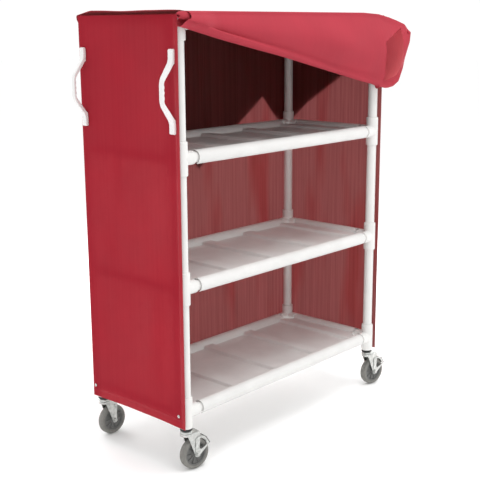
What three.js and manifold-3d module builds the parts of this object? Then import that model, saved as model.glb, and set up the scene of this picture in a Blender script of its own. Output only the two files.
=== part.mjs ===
// Linen trolley: a plastic-pipe frame with three moulded shelves, a fabric cover whose front flap is
// thrown over the top, two pull handles and four swivel casters, two of them with a brake lever.
// Millimetres. +Z up, +X along the length, the open front faces -Y.
// The origin is the middle of the floor rectangle that the whole trolley covers.

import * as THREE from 'three';
import { mergeVertices } from 'three/addons/utils/BufferGeometryUtils.js';
import Module from 'manifold-3d';

const wasm = await Module();
wasm.setup();

// ---------------------------------------------------------------- driving dimensions

// Frame: post centre lines, and how far each ring of rails stands above the lowest one.
const POST_PITCH_X = 1207;
const POST_PITCH_Y = 492;
const RINGS = [
  { name: 'bottom', rise: 0, shelf: true },
  { name: 'middle', rise: 492, shelf: true },
  { name: 'upper', rise: 979, shelf: true },
  { name: 'top', rise: 1461, shelf: false },
];

// Pipe and the socket fittings that join it.
const PIPE_OD = 42.2;
const PIPE_WALL = 3.6;
const FITTING_WALL = 4.95;
const FITTING_HALF_HEIGHT = 63.4;
const SOCKET_DEPTH = 34;
const SOCKET_STOP = 2.55;
const PIPE_CLEARANCE = 0.35;

// Shelf sheet.
const SHEET_WALL = 3.2;
const ROLL_GAP = 2.7;
const ROLL_TUCK = 22;
const DECK_DROP = 18;
const PANEL_DEPTH = 12;
const RIDGE_PITCH = 270;
const RIDGE_WIDTH = 56;
const RIDGE_SLOPE = 8;
const PANEL_COUNT = 4;
const CORNER_NOTCH_X = 72;
const CORNER_NOTCH_Y = 66;
const NOTCH_CLEARANCE = 2;
const NOTCH_ROLL_CUT = 6;

// Cover.
const COVER_SHEET = 1.6;
const COVER_GAP = 0.4;
const COVER_HEM_RISE = 5.4;

// Front flap, thrown over the top.
const FLAP_LOOSE = 9;
const FLAP_OVERHANG_LEFT = 18;
const FLAP_LEFT_DROP = 58;
const FLAP_RIGHT_DROP = 318;
const FLAP_WING = 136;
const FLAP_BULGE = 54;
const FLAP_TIP_X = 10;
const FLAP_TIP_DROP = 674;
const FLAP_NOTCH_X = 315;
const FLAP_NOTCH_DROP = 378;
const FLAP_CORNER_RUN = 180;
const FLAP_CORNER_DROP = 505;
const FLAP_STANDOFF = 2;
const FLAP_WING_EDGE = 50;
const FLAP_WING_RISE = 26;

// Pull handles on the left end.
const HANDLE_LENGTH = 300;
const HANDLE_WIDTH = 24;
const HANDLE_STANDOFF = 61;
const HANDLE_GRIP = 12.5;
const HANDLE_GRIP_LENGTH = 76;
const HANDLE_FOOT = 53;
const HANDLE_FOOT_THICKNESS = 13;
const HANDLE_SHOULDER = 12;
const HANDLE_TOE = 4;
const HANDLE_ROUNDING = 5;
const HANDLE_WAVE = 2.5;
const HANDLE_WAVE_COUNT = 4;

// Casters.
const WHEEL_RADIUS = 63.5;
const TYRE_WIDTH = 32;
const TYRE_WALL = 15;
const TYRE_SHOULDER = 8;
const TYRE_BEAD_INSET = 2;
const CORE_HUB_WIDTH = 36;
const CASTER_TRAIL = 36;
const WHEEL_HEADROOM = 27;
const CORE_HUB_RADIUS = 14;
const CORE_WEB = 8;
const CORE_RIM = 4;
const AXLE_RADIUS = 5;
const AXLE_HEAD_HEIGHT = 5;
const AXLE_HEAD_LAP = 3.5;
const AXLE_BOSS_WALL = 6;
const FORK_INNER_WIDTH = 38;
const FORK_WALL = 3;
const RACE_RADIUS = 24.5;
const RACE_HEIGHT = 12;
const STEM_RADIUS = 5.5;
const STEM_LENGTH = 46;
const KINGPIN_HEAD = 5;
const KINGPIN_HEAD_LAP = 4;
const COLLAR_HEIGHT = 9;
const COLLAR_INSET = 1.9;
const INSERT_DEPTH = 52;
const FORK_REACH = 51;
const FORK_CROWN_HEIGHT = 10;
const FORK_EDGE_ROUND = 4;
const FORK_WAIST = 32;
const FORK_SHOULDER = 66;
const BRAKE_WALL = 2;
const BRAKE_PEDAL_GAP = 2.3;
const BRAKE_PEDAL_LENGTH = 38;
const BRAKE_PEDAL_TILT = 32;
const BRAKE_PEDAL_DIP = 6;
const BRAKE_ARM = 32;
const BRAKE_LIP = 14;
const RUNNING_GAP = 0.5;
const TOUCH_GAP = 0.3;
const CASTERS = [
  { name: 'front_left', sideX: -1, sideY: -1, turn: -7.4, brake: true },
  { name: 'rear_left', sideX: -1, sideY: 1, turn: -1.4, brake: false },
  { name: 'front_right', sideX: 1, sideY: -1, turn: -9.9, brake: true },
  { name: 'rear_right', sideX: 1, sideY: 1, turn: -5, brake: false },
];

// Facets round each kind of round piece.
const PIPE_FACETS = 16;
const TYRE_FACETS = 24;
const CORE_FACETS = 16;
const SMALL_FACETS = 12;

// ---------------------------------------------------------------- derived sizes

const POST_X = POST_PITCH_X / 2;
const POST_Y = POST_PITCH_Y / 2;
const PIPE_R = PIPE_OD / 2;
const BORE_R = PIPE_R + PIPE_CLEARANCE;
const FITTING_R = BORE_R + FITTING_WALL;
const SOCKET_FLOOR = BORE_R + SOCKET_STOP;
const SOCKET_REACH = SOCKET_FLOOR + SOCKET_DEPTH;
const COLLAR_RADIUS = FITTING_R - COLLAR_INSET;
const AXLE_Z = WHEEL_RADIUS * Math.cos(Math.PI / TYRE_FACETS);
const FORK_TOP_Z = AXLE_Z + WHEEL_RADIUS + WHEEL_HEADROOM + FORK_WALL;
const RACE_BOTTOM_Z = FORK_TOP_Z + RUNNING_GAP;
const COLLAR_BOTTOM_Z = RACE_BOTTOM_Z + RACE_HEIGHT + TOUCH_GAP;
const FRAME_BOTTOM_Z = COLLAR_BOTTOM_Z + COLLAR_HEIGHT + TOUCH_GAP;
const LEVELS = RINGS.map((ring) => ({ ...ring, z: FRAME_BOTTOM_Z + FITTING_HALF_HEIGHT + ring.rise }));
const [, , UPPER_LEVEL, TOP_LEVEL] = LEVELS;
const FRAME_TOP_Z = TOP_LEVEL.z + FITTING_R;
const ROLL_INNER_R = PIPE_R + ROLL_GAP;
const ROLL_OUTER_R = ROLL_INNER_R + SHEET_WALL;
const FRAME_REACH = Math.max(FITTING_R, ROLL_OUTER_R);
const COVER_INNER_X = POST_X + FRAME_REACH + COVER_GAP;
const COVER_OUTER_X = COVER_INNER_X + COVER_SHEET;
const COVER_INNER_Y = POST_Y + FRAME_REACH + COVER_GAP;
const COVER_OUTER_Y = COVER_INNER_Y + COVER_SHEET;
const COVER_FRONT_Y = -(POST_Y + FRAME_REACH);
const COVER_TOP_Z = FRAME_TOP_Z + COVER_GAP + COVER_SHEET;
const COVER_HEM_Z = FRAME_BOTTOM_Z + COVER_HEM_RISE;
const FLAP_TOP_Z = COVER_TOP_Z + TOUCH_GAP + FLAP_LOOSE;
const FORK_OUTER_Y = FORK_INNER_WIDTH / 2 + FORK_WALL;
const HANDLE_MIDDLE_Z = (UPPER_LEVEL.z + TOP_LEVEL.z) / 2;

// ---------------------------------------------------------------- materials

function finish(name, color, roughness, metalness) {
  const material = new THREE.MeshStandardMaterial({ color, roughness, metalness });
  material.name = name;
  return material;
}

const PIPE_PLASTIC = finish('pipe_plastic', 0xf0f0ec, 0.38, 0);
const SHELF_PLASTIC = finish('shelf_plastic', 0xe6e8e4, 0.45, 0);
const HANDLE_PLASTIC = finish('handle_plastic', 0xf2f2f0, 0.35, 0);
const COVER_FABRIC = finish('cover_fabric', 0xa52935, 0.8, 0);
const FLAP_FABRIC = finish('flap_fabric', 0xc63c50, 0.8, 0);
const ZINC = finish('zinc', 0xb9bcb8, 0.35, 1);
const COLLAR_PLASTIC = finish('collar_plastic', 0x1e1d1c, 0.5, 0);
const TYRE_RUBBER = finish('tyre_rubber', 0x77756f, 0.75, 0);
const CORE_PLASTIC = finish('core_plastic', 0x6a6a66, 0.6, 0);

// ---------------------------------------------------------------- solids

// A three.js geometry as a solid that can be joined and cut.
function solidOf(geometry) {
  const bare = geometry.clone();
  bare.deleteAttribute('normal');
  bare.deleteAttribute('uv');
  const merged = mergeVertices(bare, 1e-4);
  return new wasm.Manifold(new wasm.Mesh({
    numProp: 3,
    vertProperties: new Float32Array(merged.attributes.position.array),
    triVerts: new Uint32Array(merged.index.array),
  }));
}

function geometryOf(solid) {
  const mesh = solid.getMesh();
  const geometry = new THREE.BufferGeometry();
  geometry.setAttribute('position', new THREE.BufferAttribute(new Float32Array(mesh.vertProperties), 3));
  geometry.setIndex(new THREE.BufferAttribute(new Uint32Array(mesh.triVerts), 1));
  return geometry;
}

function join(solids) {
  return solids.reduce((whole, solid) => whole.add(solid));
}

function cut(solid, tools) {
  return tools.reduce((whole, tool) => whole.subtract(tool), solid);
}

function box(x0, x1, y0, y1, z0, z1) {
  const geometry = new THREE.BoxGeometry(x1 - x0, y1 - y0, z1 - z0);
  geometry.translate((x0 + x1) / 2, (y0 + y1) / 2, (z0 + z1) / 2);
  return solidOf(geometry);
}

// A round bar along one axis, 'x', 'y' or 'z', from one place on that axis to another.
function bar(axis, radius, from, to, centre, facets = PIPE_FACETS) {
  const geometry = new THREE.CylinderGeometry(radius, radius, to - from, facets);
  geometry.rotateY(Math.PI / facets);
  geometry.translate(0, (from + to) / 2, 0);
  if (axis === 'x') geometry.rotateZ(-Math.PI / 2);
  if (axis === 'z') geometry.rotateX(Math.PI / 2);
  geometry.translate(centre[0], centre[1], centre[2]);
  return solidOf(geometry);
}

// The same bar, with its two ends given in either order.
function barBetween(axis, radius, one, other, centre) {
  return bar(axis, radius, Math.min(one, other), Math.max(one, other), centre);
}

// A turned piece about Z: the profile is a list of [radius, z], anticlockwise, ending on the axis or closed.
function turned(profile, facets) {
  const points = profile.map(([radius, z]) => new THREE.Vector2(radius, z));
  const geometry = new THREE.LatheGeometry(points, facets);
  geometry.rotateX(Math.PI / 2);
  geometry.rotateZ(Math.PI / facets);
  return solidOf(geometry);
}

// An outline of [u, v] points pushed along an axis: 'y' takes u as X and v as Z, 'x' takes u as Y and v as Z,
// 'z' takes u as X and v as Y.
function pushed(axis, outline, from, to) {
  const shape = new THREE.Shape(outline.map(([u, v]) => new THREE.Vector2(u, v)));
  const geometry = new THREE.ExtrudeGeometry(shape, { depth: to - from, bevelEnabled: false });
  geometry.translate(0, 0, from);
  if (axis === 'y') {
    geometry.rotateX(Math.PI / 2);
    geometry.translate(0, from + to, 0);
  }
  if (axis === 'x') {
    geometry.rotateY(Math.PI / 2);
    geometry.rotateX(Math.PI / 2);
  }
  return solidOf(geometry);
}

// Points of an arc, in degrees, both ends included.
function arc(centreU, centreV, radius, fromDegrees, toDegrees, steps) {
  const points = [];
  for (let i = 0; i <= steps; i += 1) {
    const angle = THREE.MathUtils.degToRad(fromDegrees + ((toDegrees - fromDegrees) * i) / steps);
    points.push([centreU + radius * Math.cos(angle), centreV + radius * Math.sin(angle)]);
  }
  return points;
}

function named(name, solid, material) {
  const mesh = new THREE.Mesh(geometryOf(solid), material);
  mesh.name = name;
  return mesh;
}

// ---------------------------------------------------------------- frame

// A hollow upright, from the mouth of the bottom fitting to the floor of the top one.
function post() {
  const top = TOP_LEVEL.z - SOCKET_FLOOR;
  return cut(bar('z', PIPE_R, FRAME_BOTTOM_Z, top, [0, 0, 0]), [
    bar('z', PIPE_R - PIPE_WALL, FRAME_BOTTOM_Z - 1, top + 1, [0, 0, 0]),
  ]);
}

// A rail along the length, seated in the sockets at both ends.
function longRail() {
  const half = POST_X - SOCKET_FLOOR - TOUCH_GAP;
  return cut(bar('x', PIPE_R, -half, half, [0, 0, 0]), [
    bar('x', PIPE_R - PIPE_WALL, -half - 1, half + 1, [0, 0, 0]),
  ]);
}

// One end rail with the two fittings that it is cemented into. Socket mouths open towards the other end.
function endRail(level, inward) {
  const isTop = level.name === 'top';
  const bottom = -FITTING_HALF_HEIGHT;
  const top = isTop ? FITTING_R : FITTING_HALF_HEIGHT;
  const bodies = [bar('y', PIPE_R, -POST_Y, POST_Y, [0, 0, 0])];
  const bores = [bar('y', PIPE_R - PIPE_WALL, -POST_Y, POST_Y, [0, 0, 0])];
  for (const side of [-1, 1]) {
    const y = side * POST_Y;
    bodies.push(bar('z', FITTING_R, bottom, top, [0, y, 0]));
    bodies.push(barBetween('y', FITTING_R, y, y - side * SOCKET_REACH, [0, 0, 0]));
    bodies.push(barBetween('x', FITTING_R, 0, inward * SOCKET_REACH, [0, y, 0]));
    const boreTop = isTop ? -SOCKET_FLOOR + TOUCH_GAP : top + 1;
    bores.push(bar('z', BORE_R, bottom - 1, boreTop, [0, y, 0]));
    if (isTop) bores.push(bar('z', PIPE_R - PIPE_WALL, bottom, 0, [0, y, 0]));
    bores.push(barBetween('x', BORE_R, inward * SOCKET_FLOOR, inward * (SOCKET_REACH + 1), [0, y, 0]));
  }
  return cut(join(bodies), bores);
}

function frame() {
  const group = new THREE.Group();
  for (const [sideX, endName] of [[-1, 'left'], [1, 'right']]) {
    for (const [sideY, faceName] of [[-1, 'front'], [1, 'rear']]) {
      const upright = named(`post_${faceName}_${endName}`, post(), PIPE_PLASTIC);
      upright.position.set(sideX * POST_X, sideY * POST_Y, 0);
      group.add(upright);
    }
    for (const level of LEVELS) {
      const rung = named(`end_rail_${endName}_${level.name}`, endRail(level, -sideX), PIPE_PLASTIC);
      rung.position.set(sideX * POST_X, 0, level.z);
      group.add(rung);
    }
  }
  for (const [sideY, faceName] of [[-1, 'front'], [1, 'rear']]) {
    for (const level of LEVELS) {
      const rail = named(`rail_${faceName}_${level.name}`, longRail(), PIPE_PLASTIC);
      rail.position.set(0, sideY * POST_Y, level.z);
      group.add(rail);
    }
  }
  return group;
}

// ---------------------------------------------------------------- shelves

// Where the deck meets the rolled edge, as an angle round the rail.
const DECK_ANGLE = Math.asin((ROLL_OUTER_R - DECK_DROP) / ROLL_OUTER_R);

// Section of a rolled edge over a rail at u = 0: the sheet comes down outside and meets the deck inside.
function rollSection(outward) {
  const steps = 10;
  const lap = 8;
  const start = THREE.MathUtils.radToDeg(DECK_ANGLE);
  const sweep = 180 + 90 * (ROLL_TUCK / ROLL_OUTER_R);
  const outer = arc(0, 0, ROLL_OUTER_R, start, sweep, steps);
  const inner = arc(0, 0, ROLL_INNER_R, sweep, start - lap, steps);
  return [...outer, ...inner].map(([u, v]) => [-outward * u, v]);
}

// The deck across the shelf: ridges and margins at one level, the panels between them a step lower.
function deckSection(halfLength) {
  const high = ROLL_OUTER_R - DECK_DROP;
  const low = high - PANEL_DEPTH;
  const top = [[-halfLength, high]];
  for (let i = 0; i < PANEL_COUNT; i += 1) {
    const middle = (i - (PANEL_COUNT - 1) / 2) * RIDGE_PITCH;
    const half = (RIDGE_PITCH - RIDGE_WIDTH) / 2;
    top.push([middle - half, high], [middle - half + RIDGE_SLOPE, low]);
    top.push([middle + half - RIDGE_SLOPE, low], [middle + half, high]);
  }
  top.push([halfLength, high]);
  const under = top.map(([x, z]) => [x, z - SHEET_WALL]).reverse();
  return [...top, ...under];
}

function shelf() {
  const rollHalfX = POST_X - CORNER_NOTCH_X;
  const rollHalfY = POST_Y - CORNER_NOTCH_Y;
  const deckInset = ROLL_OUTER_R * Math.cos(DECK_ANGLE) - SHEET_WALL / 2;
  const deckHalfX = POST_X - deckInset;
  const deckHalfY = POST_Y - deckInset;
  const pieces = [pushed('y', deckSection(deckHalfX), -deckHalfY, deckHalfY)];
  for (const side of [-1, 1]) {
    const along = rollSection(side).map(([u, v]) => [side * POST_Y + u, v]);
    pieces.push(pushed('x', along, -rollHalfX, rollHalfX));
    const across = rollSection(side).filter(([, v]) => v > 0).map(([u, v]) => [side * POST_X + u, v]);
    pieces.push(pushed('y', across, -rollHalfY, rollHalfY));
  }
  const notches = [];
  for (const sideX of [-1, 1]) {
    for (const sideY of [-1, 1]) {
      notches.push(cornerNotch(sideX, sideY));
    }
  }
  return cut(join(pieces), notches);
}

// The corner that is cut away from the sheet so that it clears a fitting.
function cornerNotch(sideX, sideY) {
  const reach = FRAME_REACH * 2;
  const rollCut = FITTING_R - NOTCH_ROLL_CUT;
  const clear = FITTING_R + NOTCH_CLEARANCE;
  const outline = [
    [POST_X + reach, POST_Y + reach],
    [POST_X - CORNER_NOTCH_X, POST_Y + reach],
    [POST_X - CORNER_NOTCH_X, POST_Y - rollCut],
    [POST_X - SOCKET_REACH, POST_Y - clear],
    [POST_X - clear, POST_Y - SOCKET_REACH],
    [POST_X - rollCut, POST_Y - CORNER_NOTCH_Y],
    [POST_X + reach, POST_Y - CORNER_NOTCH_Y],
  ];
  const mirrored = outline.map(([x, y]) => [sideX * x, sideY * y]);
  return pushed('z', mirrored, -FITTING_HALF_HEIGHT, FITTING_HALF_HEIGHT);
}

function shelves() {
  const group = new THREE.Group();
  for (const level of LEVELS.filter((one) => one.shelf)) {
    const sheet = named(`shelf_${level.name}`, shelf(), SHELF_PLASTIC);
    sheet.position.z = level.z;
    group.add(sheet);
  }
  return group;
}

// ---------------------------------------------------------------- cover

function cover() {
  const group = new THREE.Group();
  const endTop = COVER_TOP_Z - COVER_SHEET - TOUCH_GAP;
  const endRear = COVER_INNER_Y - TOUCH_GAP;
  group.add(named('cover_top', box(-COVER_OUTER_X, COVER_OUTER_X, COVER_FRONT_Y, COVER_OUTER_Y,
    COVER_TOP_Z - COVER_SHEET, COVER_TOP_Z), COVER_FABRIC));
  group.add(named('cover_back', box(-COVER_OUTER_X, COVER_OUTER_X, COVER_INNER_Y, COVER_OUTER_Y,
    COVER_HEM_Z, endTop), COVER_FABRIC));
  group.add(named('cover_end_left', box(-COVER_OUTER_X, -COVER_INNER_X, COVER_FRONT_Y, endRear,
    COVER_HEM_Z, endTop), COVER_FABRIC));
  group.add(named('cover_end_right', box(COVER_INNER_X, COVER_OUTER_X, COVER_FRONT_Y, endRear,
    COVER_HEM_Z, endTop), COVER_FABRIC));
  return group;
}

// The front flap: a fold that hangs before the front, the layer on the top, and what hangs behind and at
// the right end.
function flap() {
  const group = new THREE.Group();
  const left = -COVER_OUTER_X - FLAP_OVERHANG_LEFT;
  const hangX = COVER_OUTER_X + TOUCH_GAP;
  const hangOuterX = hangX + FLAP_LOOSE;
  const hangY = COVER_OUTER_Y + TOUCH_GAP;
  const layerBottom = COVER_TOP_Z + TOUCH_GAP;
  const foldBack = COVER_FRONT_Y - FLAP_STANDOFF;
  group.add(named('flap_fold', pushed('y', foldOutline(left), foldBack - FLAP_BULGE, foldBack), FLAP_FABRIC));
  group.add(named('flap_over_top', box(left, hangOuterX, foldBack + TOUCH_GAP, hangY + FLAP_LOOSE,
    layerBottom, FLAP_TOP_Z), FLAP_FABRIC));
  group.add(named('flap_behind', pushed('y', behindOutline(left, hangOuterX, COVER_TOP_Z),
    hangY, hangY + FLAP_LOOSE), FLAP_FABRIC));
  group.add(named('flap_at_end', pushed('x', atEndOutline(COVER_OUTER_Y, COVER_TOP_Z),
    hangX, hangOuterX), FLAP_FABRIC));
  return group;
}

// The fold before the front: shallow at the left, deep at the right, with a wing past the right end.
function foldOutline(left) {
  const wing = COVER_OUTER_X + FLAP_WING;
  const low = FLAP_TOP_Z - FLAP_RIGHT_DROP;
  return [
    [left, FLAP_TOP_Z],
    [left, FLAP_TOP_Z - FLAP_LEFT_DROP],
    [COVER_OUTER_X, low],
    [COVER_OUTER_X + FLAP_WING / 2, low + FLAP_WING_RISE],
    [wing, FLAP_TOP_Z - FLAP_RIGHT_DROP / 2],
    [wing, FLAP_TOP_Z - FLAP_WING_EDGE],
    [COVER_OUTER_X - FLAP_WING, FLAP_TOP_Z],
  ];
}

// What hangs behind the back: a corner of the cloth points down, and the far part hangs square.
function behindOutline(left, right, top) {
  return [
    [left, top],
    [FLAP_TIP_X, FLAP_TOP_Z - FLAP_TIP_DROP],
    [FLAP_NOTCH_X, FLAP_TOP_Z - FLAP_NOTCH_DROP],
    [right - FLAP_CORNER_RUN, FLAP_TOP_Z - FLAP_CORNER_DROP],
    [right, FLAP_TOP_Z - FLAP_CORNER_DROP],
    [right, top],
  ];
}

// What hangs outside the right end, lower at the back than at the front.
function atEndOutline(rear, top) {
  return [
    [rear, top],
    [COVER_FRONT_Y, top],
    [COVER_FRONT_Y, FLAP_TOP_Z - FLAP_RIGHT_DROP / 2],
    [rear, FLAP_TOP_Z - FLAP_CORNER_DROP],
  ];
}

// ---------------------------------------------------------------- handles

// A moulded pull: two feet against the cover, two slanted arms and a straight grip with finger waves.
function handle() {
  const half = HANDLE_LENGTH / 2;
  const gripHalf = HANDLE_GRIP_LENGTH / 2;
  const inner = HANDLE_STANDOFF - HANDLE_GRIP;
  const outer = [
    [0, -half],
    [HANDLE_FOOT_THICKNESS, -half],
    [HANDLE_FOOT_THICKNESS, -half + HANDLE_FOOT - HANDLE_SHOULDER],
    [HANDLE_STANDOFF - HANDLE_ROUNDING, -gripHalf - HANDLE_ROUNDING * 2],
    [HANDLE_STANDOFF, -gripHalf + HANDLE_ROUNDING],
  ];
  const outerBack = outer.map(([u, v]) => [u, -v]).reverse();
  const innerTop = [
    [0, half - HANDLE_FOOT],
    [HANDLE_TOE, half - HANDLE_FOOT],
    [inner, gripHalf],
  ];
  const innerBottom = innerTop.map(([u, v]) => [u, -v]).reverse();
  const waves = [];
  const steps = HANDLE_WAVE_COUNT * 2;
  for (let i = 1; i < steps; i += 1) {
    const dip = i % 2 === 1 ? HANDLE_WAVE : 0;
    waves.push([inner + dip, gripHalf - (i * HANDLE_GRIP_LENGTH) / steps]);
  }
  const outline = [...outer, ...outerBack, ...innerTop, ...waves, ...innerBottom];
  return pushed('y', outline.map(([u, v]) => [-u, v]), -HANDLE_WIDTH / 2, HANDLE_WIDTH / 2);
}

function handles() {
  const group = new THREE.Group();
  for (const [sideY, faceName] of [[-1, 'front'], [1, 'rear']]) {
    const pull = named(`handle_${faceName}`, handle(), HANDLE_PLASTIC);
    pull.position.set(-COVER_OUTER_X - TOUCH_GAP, sideY * POST_Y, HANDLE_MIDDLE_Z);
    group.add(pull);
  }
  return group;
}

// ---------------------------------------------------------------- casters
// Each caster is drawn about its swivel axis, with the wheel trailing towards +X.

// Plastic insert in the foot of a post, with a collar under the fitting and a bore for the stem.
function casterInsert() {
  const outer = PIPE_R - PIPE_WALL - PIPE_CLEARANCE;
  const bore = STEM_RADIUS + RUNNING_GAP;
  return turned([
    [bore, COLLAR_BOTTOM_Z],
    [COLLAR_RADIUS, COLLAR_BOTTOM_Z],
    [COLLAR_RADIUS, COLLAR_BOTTOM_Z + COLLAR_HEIGHT],
    [outer, COLLAR_BOTTOM_Z + COLLAR_HEIGHT],
    [outer, COLLAR_BOTTOM_Z + INSERT_DEPTH],
    [bore, COLLAR_BOTTOM_Z + INSERT_DEPTH],
    [bore, COLLAR_BOTTOM_Z],
  ], PIPE_FACETS);
}

// Stem, upper race and kingpin: one turned piece whose riveted head holds the fork up.
function casterStem() {
  const headTop = FORK_TOP_Z - FORK_WALL - RUNNING_GAP;
  const headRadius = STEM_RADIUS + KINGPIN_HEAD_LAP;
  return turned([
    [0, headTop - KINGPIN_HEAD],
    [headRadius, headTop - KINGPIN_HEAD],
    [headRadius, headTop],
    [STEM_RADIUS, headTop],
    [STEM_RADIUS, RACE_BOTTOM_Z],
    [RACE_RADIUS, RACE_BOTTOM_Z],
    [RACE_RADIUS, RACE_BOTTOM_Z + RACE_HEIGHT / 2],
    [RACE_RADIUS - RACE_HEIGHT / 3, RACE_BOTTOM_Z + RACE_HEIGHT],
    [STEM_RADIUS, RACE_BOTTOM_Z + RACE_HEIGHT],
    [STEM_RADIUS, COLLAR_BOTTOM_Z + STEM_LENGTH],
    [0, COLLAR_BOTTOM_Z + STEM_LENGTH],
  ], SMALL_FACETS);
}

// Pressed fork: a round crown with a skirt and two legs that sweep back to the axle.
function casterFork() {
  const boss = AXLE_RADIUS + AXLE_BOSS_WALL;
  const crownBottom = FORK_TOP_Z - FORK_CROWN_HEIGHT;
  const plateBottom = FORK_TOP_Z - FORK_WALL;
  const crown = cut(bar('z', RACE_RADIUS, crownBottom, FORK_TOP_Z, [0, 0, 0]), [
    bar('z', RACE_RADIUS - FORK_WALL, crownBottom - 1, plateBottom, [0, 0, 0]),
  ]);
  const bridgeEnd = FORK_REACH - FORK_EDGE_ROUND;
  const bridge = box(0, bridgeEnd, -FORK_OUTER_Y, FORK_OUTER_Y, plateBottom, FORK_TOP_Z);
  const legFront = -Math.sqrt(RACE_RADIUS ** 2 - FORK_OUTER_Y ** 2);
  const leg = [
    [legFront, FORK_TOP_Z],
    [legFront, crownBottom],
    [-FORK_EDGE_ROUND, crownBottom - FORK_EDGE_ROUND],
    [CASTER_TRAIL - boss, AXLE_Z + AXLE_RADIUS],
    ...arc(CASTER_TRAIL, AXLE_Z, boss, 200, 340, 5),
    [FORK_REACH - FORK_WALL, AXLE_Z + FORK_WAIST],
    [FORK_REACH, AXLE_Z + FORK_SHOULDER],
    [FORK_REACH, FORK_TOP_Z - FORK_EDGE_ROUND * 2],
    [bridgeEnd, FORK_TOP_Z],
  ];
  const legs = [-1, 1].map((side) => {
    const near = side * (FORK_INNER_WIDTH / 2);
    const far = side * FORK_OUTER_Y;
    return pushed('y', leg, Math.min(near, far), Math.max(near, far));
  });
  return cut(join([crown, bridge, ...legs]), [
    bar('z', STEM_RADIUS + RUNNING_GAP, FORK_TOP_Z - FORK_WALL - 1, FORK_TOP_Z + 1, [0, 0, 0]),
    bar('y', AXLE_RADIUS + TOUCH_GAP, -FORK_OUTER_Y - 1, FORK_OUTER_Y + 1, [CASTER_TRAIL, 0, AXLE_Z],
      SMALL_FACETS),
  ]);
}

// Axle bolt with its head and nut outside the fork, or outside the brake plates.
function casterAxle(outside) {
  const head = AXLE_RADIUS + AXLE_HEAD_LAP;
  const face = outside + TOUCH_GAP;
  const end = face + AXLE_HEAD_HEIGHT;
  return turned([
    [0, -end],
    [head, -end],
    [head, -face],
    [AXLE_RADIUS, -face],
    [AXLE_RADIUS, face],
    [head, face],
    [head, end],
    [0, end],
  ], SMALL_FACETS);
}

function casterTyre() {
  const half = TYRE_WIDTH / 2;
  const inner = WHEEL_RADIUS - TYRE_WALL;
  const bead = half - TYRE_BEAD_INSET;
  const shoulder = WHEEL_RADIUS - TYRE_SHOULDER;
  return turned([
    [inner, -bead],
    [shoulder, -half],
    [WHEEL_RADIUS - TYRE_BEAD_INSET, -half + TYRE_SHOULDER / 2],
    [WHEEL_RADIUS, -half + TYRE_SHOULDER],
    [WHEEL_RADIUS, half - TYRE_SHOULDER],
    [WHEEL_RADIUS - TYRE_BEAD_INSET, half - TYRE_SHOULDER / 2],
    [shoulder, half],
    [inner, bead],
    [inner, -bead],
  ], TYRE_FACETS);
}

// Wheel core: a rim inside the tyre, a thin web and a wide hub that spins on the axle.
function casterCore() {
  const rim = (WHEEL_RADIUS - TYRE_WALL) * Math.cos(Math.PI / TYRE_FACETS) - TOUCH_GAP;
  const rimHalf = TYRE_WIDTH / 2 - TYRE_BEAD_INSET - 1;
  const hubHalf = CORE_HUB_WIDTH / 2;
  const bore = AXLE_RADIUS + RUNNING_GAP;
  const webHalf = CORE_WEB / 2;
  const rimFoot = rim - CORE_RIM * 1.5;
  return turned([
    [bore, -hubHalf],
    [CORE_HUB_RADIUS, -hubHalf],
    [CORE_HUB_RADIUS, -webHalf],
    [rimFoot, -webHalf],
    [rim - CORE_RIM, -rimHalf],
    [rim, -rimHalf],
    [rim, rimHalf],
    [rim - CORE_RIM, rimHalf],
    [rimFoot, webHalf],
    [CORE_HUB_RADIUS, webHalf],
    [CORE_HUB_RADIUS, hubHalf],
    [bore, hubHalf],
    [bore, -hubHalf],
  ], CORE_FACETS);
}

// Brake lever: a plate outside each fork leg, turning on the axle, joined by a pedal behind the tyre.
function brakeLever() {
  const near = FORK_OUTER_Y + TOUCH_GAP;
  const far = near + BRAKE_WALL;
  const hub = AXLE_RADIUS + AXLE_BOSS_WALL;
  const tilt = THREE.MathUtils.degToRad(BRAKE_PEDAL_TILT);
  const pedalInner = WHEEL_RADIUS + BRAKE_PEDAL_GAP;
  const onPedal = (radius, along) => [
    radius * Math.cos(tilt) - along * Math.sin(tilt),
    radius * Math.sin(tilt) + along * Math.cos(tilt),
  ];
  const low = -BRAKE_PEDAL_DIP;
  const high = BRAKE_PEDAL_LENGTH - BRAKE_PEDAL_DIP;
  const pedalOuter = pedalInner + BRAKE_WALL;
  const plate = [
    ...arc(0, 0, hub, 150, 330, 6),
    onPedal(pedalOuter - BRAKE_LIP, low),
    onPedal(pedalOuter, low),
    onPedal(pedalOuter, high),
    onPedal(pedalInner - BRAKE_LIP, high + BRAKE_PEDAL_DIP),
    onPedal(pedalInner - BRAKE_ARM, high + BRAKE_PEDAL_DIP),
  ];
  const pedal = [
    onPedal(pedalInner, low),
    onPedal(pedalOuter, low),
    onPedal(pedalOuter, high),
    onPedal(pedalInner, high),
  ];
  const solids = [
    pushed('y', plate, -far, -near),
    pushed('y', plate, near, far),
    pushed('y', pedal, -far, far),
  ];
  return cut(join(solids), [
    bar('y', AXLE_RADIUS + RUNNING_GAP, -far - 1, far + 1, [0, 0, 0], SMALL_FACETS),
  ]);
}

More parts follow.
